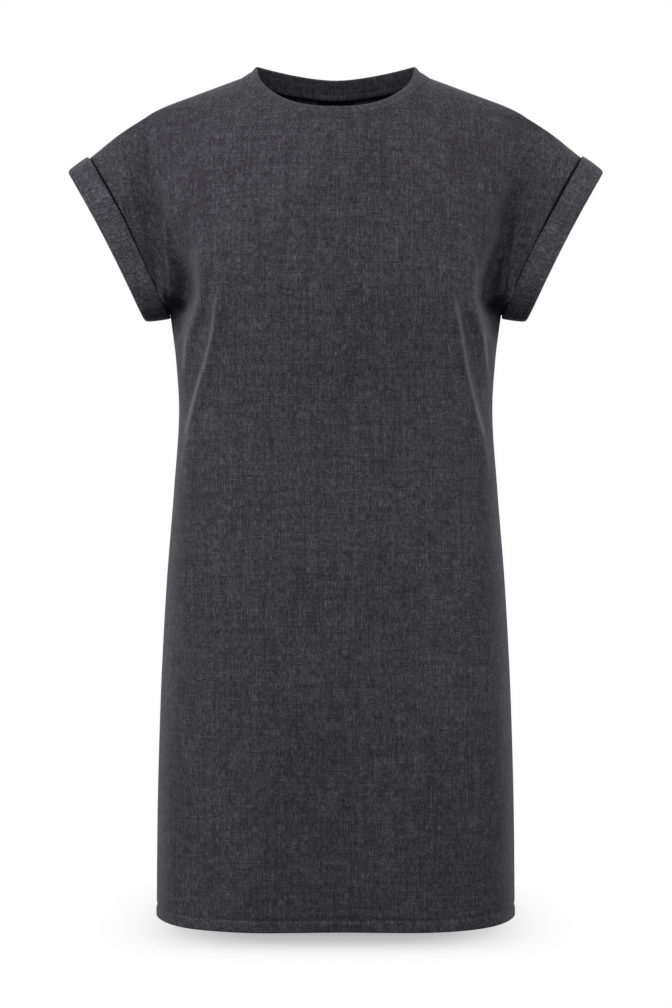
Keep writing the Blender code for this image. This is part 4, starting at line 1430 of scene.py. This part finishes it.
# %% The overlocked neck seam
OVERLOCK_HALF_TALL, OVERLOCK_HALF_DEEP = 0.0029, 0.0011
OVERLOCK_STATIONS, OVERLOCK_SIDES = 600, 10
OVERLOCK_PITCH, OVERLOCK_BUMP = 0.0030, 0.18  # from loop to loop, and how much each swells
OVERLOCK_IN, OVERLOCK_DOWN = 0.0036, 0.0015  # from the neck seam


def make_overlock():
    centre = closed(seam_line - band_out * OVERLOCK_IN - band_up * OVERLOCK_DOWN)
    run = lengths_along(centre, 0)
    at = np.linspace(0, run[-1], OVERLOCK_STATIONS, endpoint=False)
    middle, up, out = [
        np.stack([np.interp(at, run, values[:, k]) for k in range(3)], -1)
        for values in (centre, closed(band_up), closed(band_out))
    ]
    turn = np.arange(OVERLOCK_SIDES) * 2 * pi / OVERLOCK_SIDES
    swell = 1 + OVERLOCK_BUMP * np.sin(2 * pi * at / OVERLOCK_PITCH)
    tall, deep = OVERLOCK_HALF_TALL * np.cos(turn), OVERLOCK_HALF_DEEP * np.sin(turn)
    spoke = up[:, None] * tall[:, None] + out[:, None] * deep[:, None]
    sections = middle[:, None] + spoke * swell[:, None, None]
    across = np.arange(OVERLOCK_SIDES + 1) * OVERLOCK_HALF_DEEP
    # the overlock takes the rib with painted shade, as the band's inside does
    return swept_ring("neck_overlock", sections, np.append(at, run[-1]), across, rib_painted_shade)


overlock = make_overlock()
print("overlocked seam:", len(overlock.data.polygons), "faces")

# %% [markdown]
# ## What each piece is and what it rides on
#
# The dress has no joints, so everything rides on one body. Each cloth stands for its own solid.
# The calls could follow each piece where it is made, but one list shows at a glance that nothing
# is left out.

# %% Riding and replacing
PIECES = [
    # piece, the solid that it stands for, its finish
    (front, "front_panel", "jersey"),
    (back, "back_panel", "jersey"),
    (band, "neck_band", "rib"),
    (right_cuff, "right_cuff", "jersey"),
    (left_cuff, "left_cuff", "jersey"),
    (label, "neck_label", "label"),
]
for piece, node, slot in PIECES:
    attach(piece, "root")
    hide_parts(node)
for piece, slot in ((hem_stitches, "jersey"), (overlock, "rib")):
    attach(piece, "root")

print("pieces declared:", len(PIECES) + 2)

# %% [markdown]
# ## The studio
#
# A white floor just under the hem and a white backdrop all round. They could be paper lit by the
# lamps, but paper turns grey in the corners and throws light back on the cloth. So both glow and
# are seen by the camera only, and the lamps alone model the dress. The backdrop glows evenly. On
# the floor a soft shadow is painted, with the outline of the hem, which fades a hand's width in
# front of it.

# %% The floor's shadow
PAPER_WHITE = "#fefefe"
SHADOW_HALF_WIDTH, SHADOW_HALF_DEPTH = 0.236, 0.268
SHADOW_SQUARENESS = 3.4
Tone = namedtuple("Tone", "out light")
# how light the floor is, by the share of the way from under the dress to the shadow's end
SHADOW_TONES = [
    Tone(0.44, 0.456),
    Tone(0.55, 0.527),
    Tone(0.65, 0.680),
    Tone(0.75, 0.847),
    Tone(0.85, 0.950),
    Tone(1.00, 0.991),
]


def glowing(name, shadow):
    """A white that glows by itself, and for the floor a painted shadow towards the place under the dress."""
    material, tree = new_material(name)
    colour = linear(PAPER_WHITE)
    if shadow:
        place = add(tree, "ShaderNodeSeparateXYZ", {0: add(tree, "ShaderNodeTexCoord").outputs["Object"]})
        powers = []
        for axis, reach in (("X", SHADOW_HALF_WIDTH), ("Y", SHADOW_HALF_DEPTH)):
            out = add(tree, "ShaderNodeMath", {0: place.outputs[axis], 1: reach}, operation="DIVIDE")
            out = add(tree, "ShaderNodeMath", {0: out}, operation="ABSOLUTE")
            powers.append(add(tree, "ShaderNodeMath", {0: out, 1: SHADOW_SQUARENESS}, operation="POWER"))
        out = add(tree, "ShaderNodeMath", {0: powers[0], 1: powers[1]}, operation="ADD")
        out = add(tree, "ShaderNodeMath", {0: out, 1: 1 / SHADOW_SQUARENESS}, operation="POWER")
        colour = add(tree, "ShaderNodeValToRGB", {"Fac": out})
        for row in SHADOW_TONES[2:]:
            colour.color_ramp.elements.new(row.out)
        for stop, row in zip(colour.color_ramp.elements, SHADOW_TONES):
            stop.position = row.out
            stop.color = (row.light, row.light, row.light, 1.0)
    glow = add(tree, "ShaderNodeEmission", {"Color": colour, "Strength": 1.0})
    add(tree, "ShaderNodeOutputMaterial", {"Surface": glow})
    return material


# white that no lamp can grey: even on the backdrop, with a painted shadow on the floor
floor_painted_shadow = glowing("white_floor", shadow=True)
backdrop_white = glowing("white_backdrop", shadow=False)
print("the floor in the middle of its shadow:", SHADOW_TONES[0].light)

# %% [markdown]
# The backdrop is a big ball round everything, seen from inside, so the dress has the same white
# behind it from every side, where a wall would show its edge. Neither rides on the dress's body.

# %% Floor and backdrop
FLOOR_HALF = 30.0
FLOOR_BELOW = 0.0008  # the hem
BACKDROP_RADIUS = 28.0
BACKDROP_ROUNDS = 3  # of subdivision, which make it round enough


def set_up(name, shape, height, paper):
    """Puts a part of the studio in its place, where only the camera sees it."""
    mesh = bpy.data.meshes.new(name)
    shape.to_mesh(mesh)
    shape.free()
    mesh.materials.append(paper)
    piece = bpy.data.objects.new(name, mesh)
    piece.location.z = height
    bpy.context.scene.collection.objects.link(piece)
    for ray in ("diffuse", "glossy", "transmission", "shadow"):
        setattr(piece, "visible_" + ray, False)


floor, dome = bmesh.new(), bmesh.new()
bmesh.ops.create_grid(floor, x_segments=1, y_segments=1, size=FLOOR_HALF)
bmesh.ops.create_icosphere(dome, subdivisions=BACKDROP_ROUNDS, radius=BACKDROP_RADIUS)
bmesh.ops.reverse_faces(dome, faces=dome.faces)
set_up("studio_floor", floor, HEM_HEIGHT - FLOOR_BELOW, floor_painted_shadow)
set_up("studio_backdrop", dome, 0.0, backdrop_white)
print("floor at", round(HEM_HEIGHT - FLOOR_BELOW, 4), "m")

# %% [markdown]
# ## Light
#
# Four pairs of soft lamps. Two high in front model the chest and let the skirt fall off darker,
# two at the sides fill the sleeves, two behind draw a thin pale line down each edge, and two above
# do the same along the shoulders. Those on the wearer's right are stronger. A panorama of a studio,
# wrapped round as the sky, could give the same light, but a lamp can be moved and weighed alone. A
# weak even sky opens up the shadows.

# %% Lamps and sky
Lamp = namedtuple("Lamp", "name x y z wide tall right_watts left_watts")
LAMPS = [
    Lamp("high_front", 1.30, -1.60, 0.65, 1.2, 1.0, 24.3, 15.5),
    Lamp("side", 1.70, -0.30, 0.10, 0.6, 1.4, 10.4, 8.7),
    Lamp("behind", 1.15, 1.65, -0.50, 0.5, 1.2, 7.9, 7.6),
    Lamp("above", 0.70, 1.20, 1.30, 0.6, 0.6, 8.2, 6.5),
]
LIT_PLACE = Vector((0, 0, -0.30))  # where all of them point
SKY = 0.108  # the even light from all round

for lamp in LAMPS:
    for side, name, watts in ((-1, "right_", lamp.right_watts), (1, "left_", lamp.left_watts)):
        light = bpy.data.lights.new(name + lamp.name, "AREA")
        light.shape = "RECTANGLE"
        light.size, light.size_y = lamp.wide, lamp.tall
        light.energy = watts
        holder = bpy.data.objects.new(name + lamp.name, light)
        holder.location = (side * lamp.x, lamp.y, lamp.z)
        holder.rotation_mode = "QUATERNION"
        holder.rotation_quaternion = (LIT_PLACE - holder.location).to_track_quat("-Z", "Y")
        bpy.context.scene.collection.objects.link(holder)

sky = bpy.data.worlds.new("soft_sky")
sky.use_nodes = True
background = sky.node_tree.nodes["Background"].inputs
background["Color"].default_value = (1, 1, 1, 1)
background["Strength"].default_value = SKY
bpy.context.scene.world = sky
bpy.context.scene.view_settings.view_transform = "Standard"
print("lamps:", 2 * len(LAMPS))

# %% [markdown]
# ## The camera
#
# A long lens, level, a little below the waist, straight in front. A shorter one would be easier to
# place, but it would widen the hem and show more of the floor than the eye expects of a dress on
# a stand. The lens is worked out from the frame's height in pixels.

# %% The camera
CAMERA_HEIGHT = -0.433
CAMERA_AWAY = 2.56
SENSOR = 36.0  # millimetres
IMAGE_TALL = 1008  # pixels
FOCAL_PIXELS = 2516
SHIFT_PIXELS = 0.3  # to the side, as the dress stands a little off the middle

lens = bpy.data.cameras.new("front_camera")
lens.sensor_fit = "VERTICAL"
lens.sensor_height = SENSOR
lens.lens = FOCAL_PIXELS / IMAGE_TALL * SENSOR
lens.shift_x = SHIFT_PIXELS / IMAGE_TALL
camera = bpy.data.objects.new("front_camera", lens)
camera.location = (0, -CAMERA_AWAY, CAMERA_HEIGHT)
camera.rotation_euler = (pi / 2, 0, 0)
bpy.context.scene.collection.objects.link(camera)
bpy.context.scene.camera = camera
print("lens:", round(lens.lens, 2), "mm")
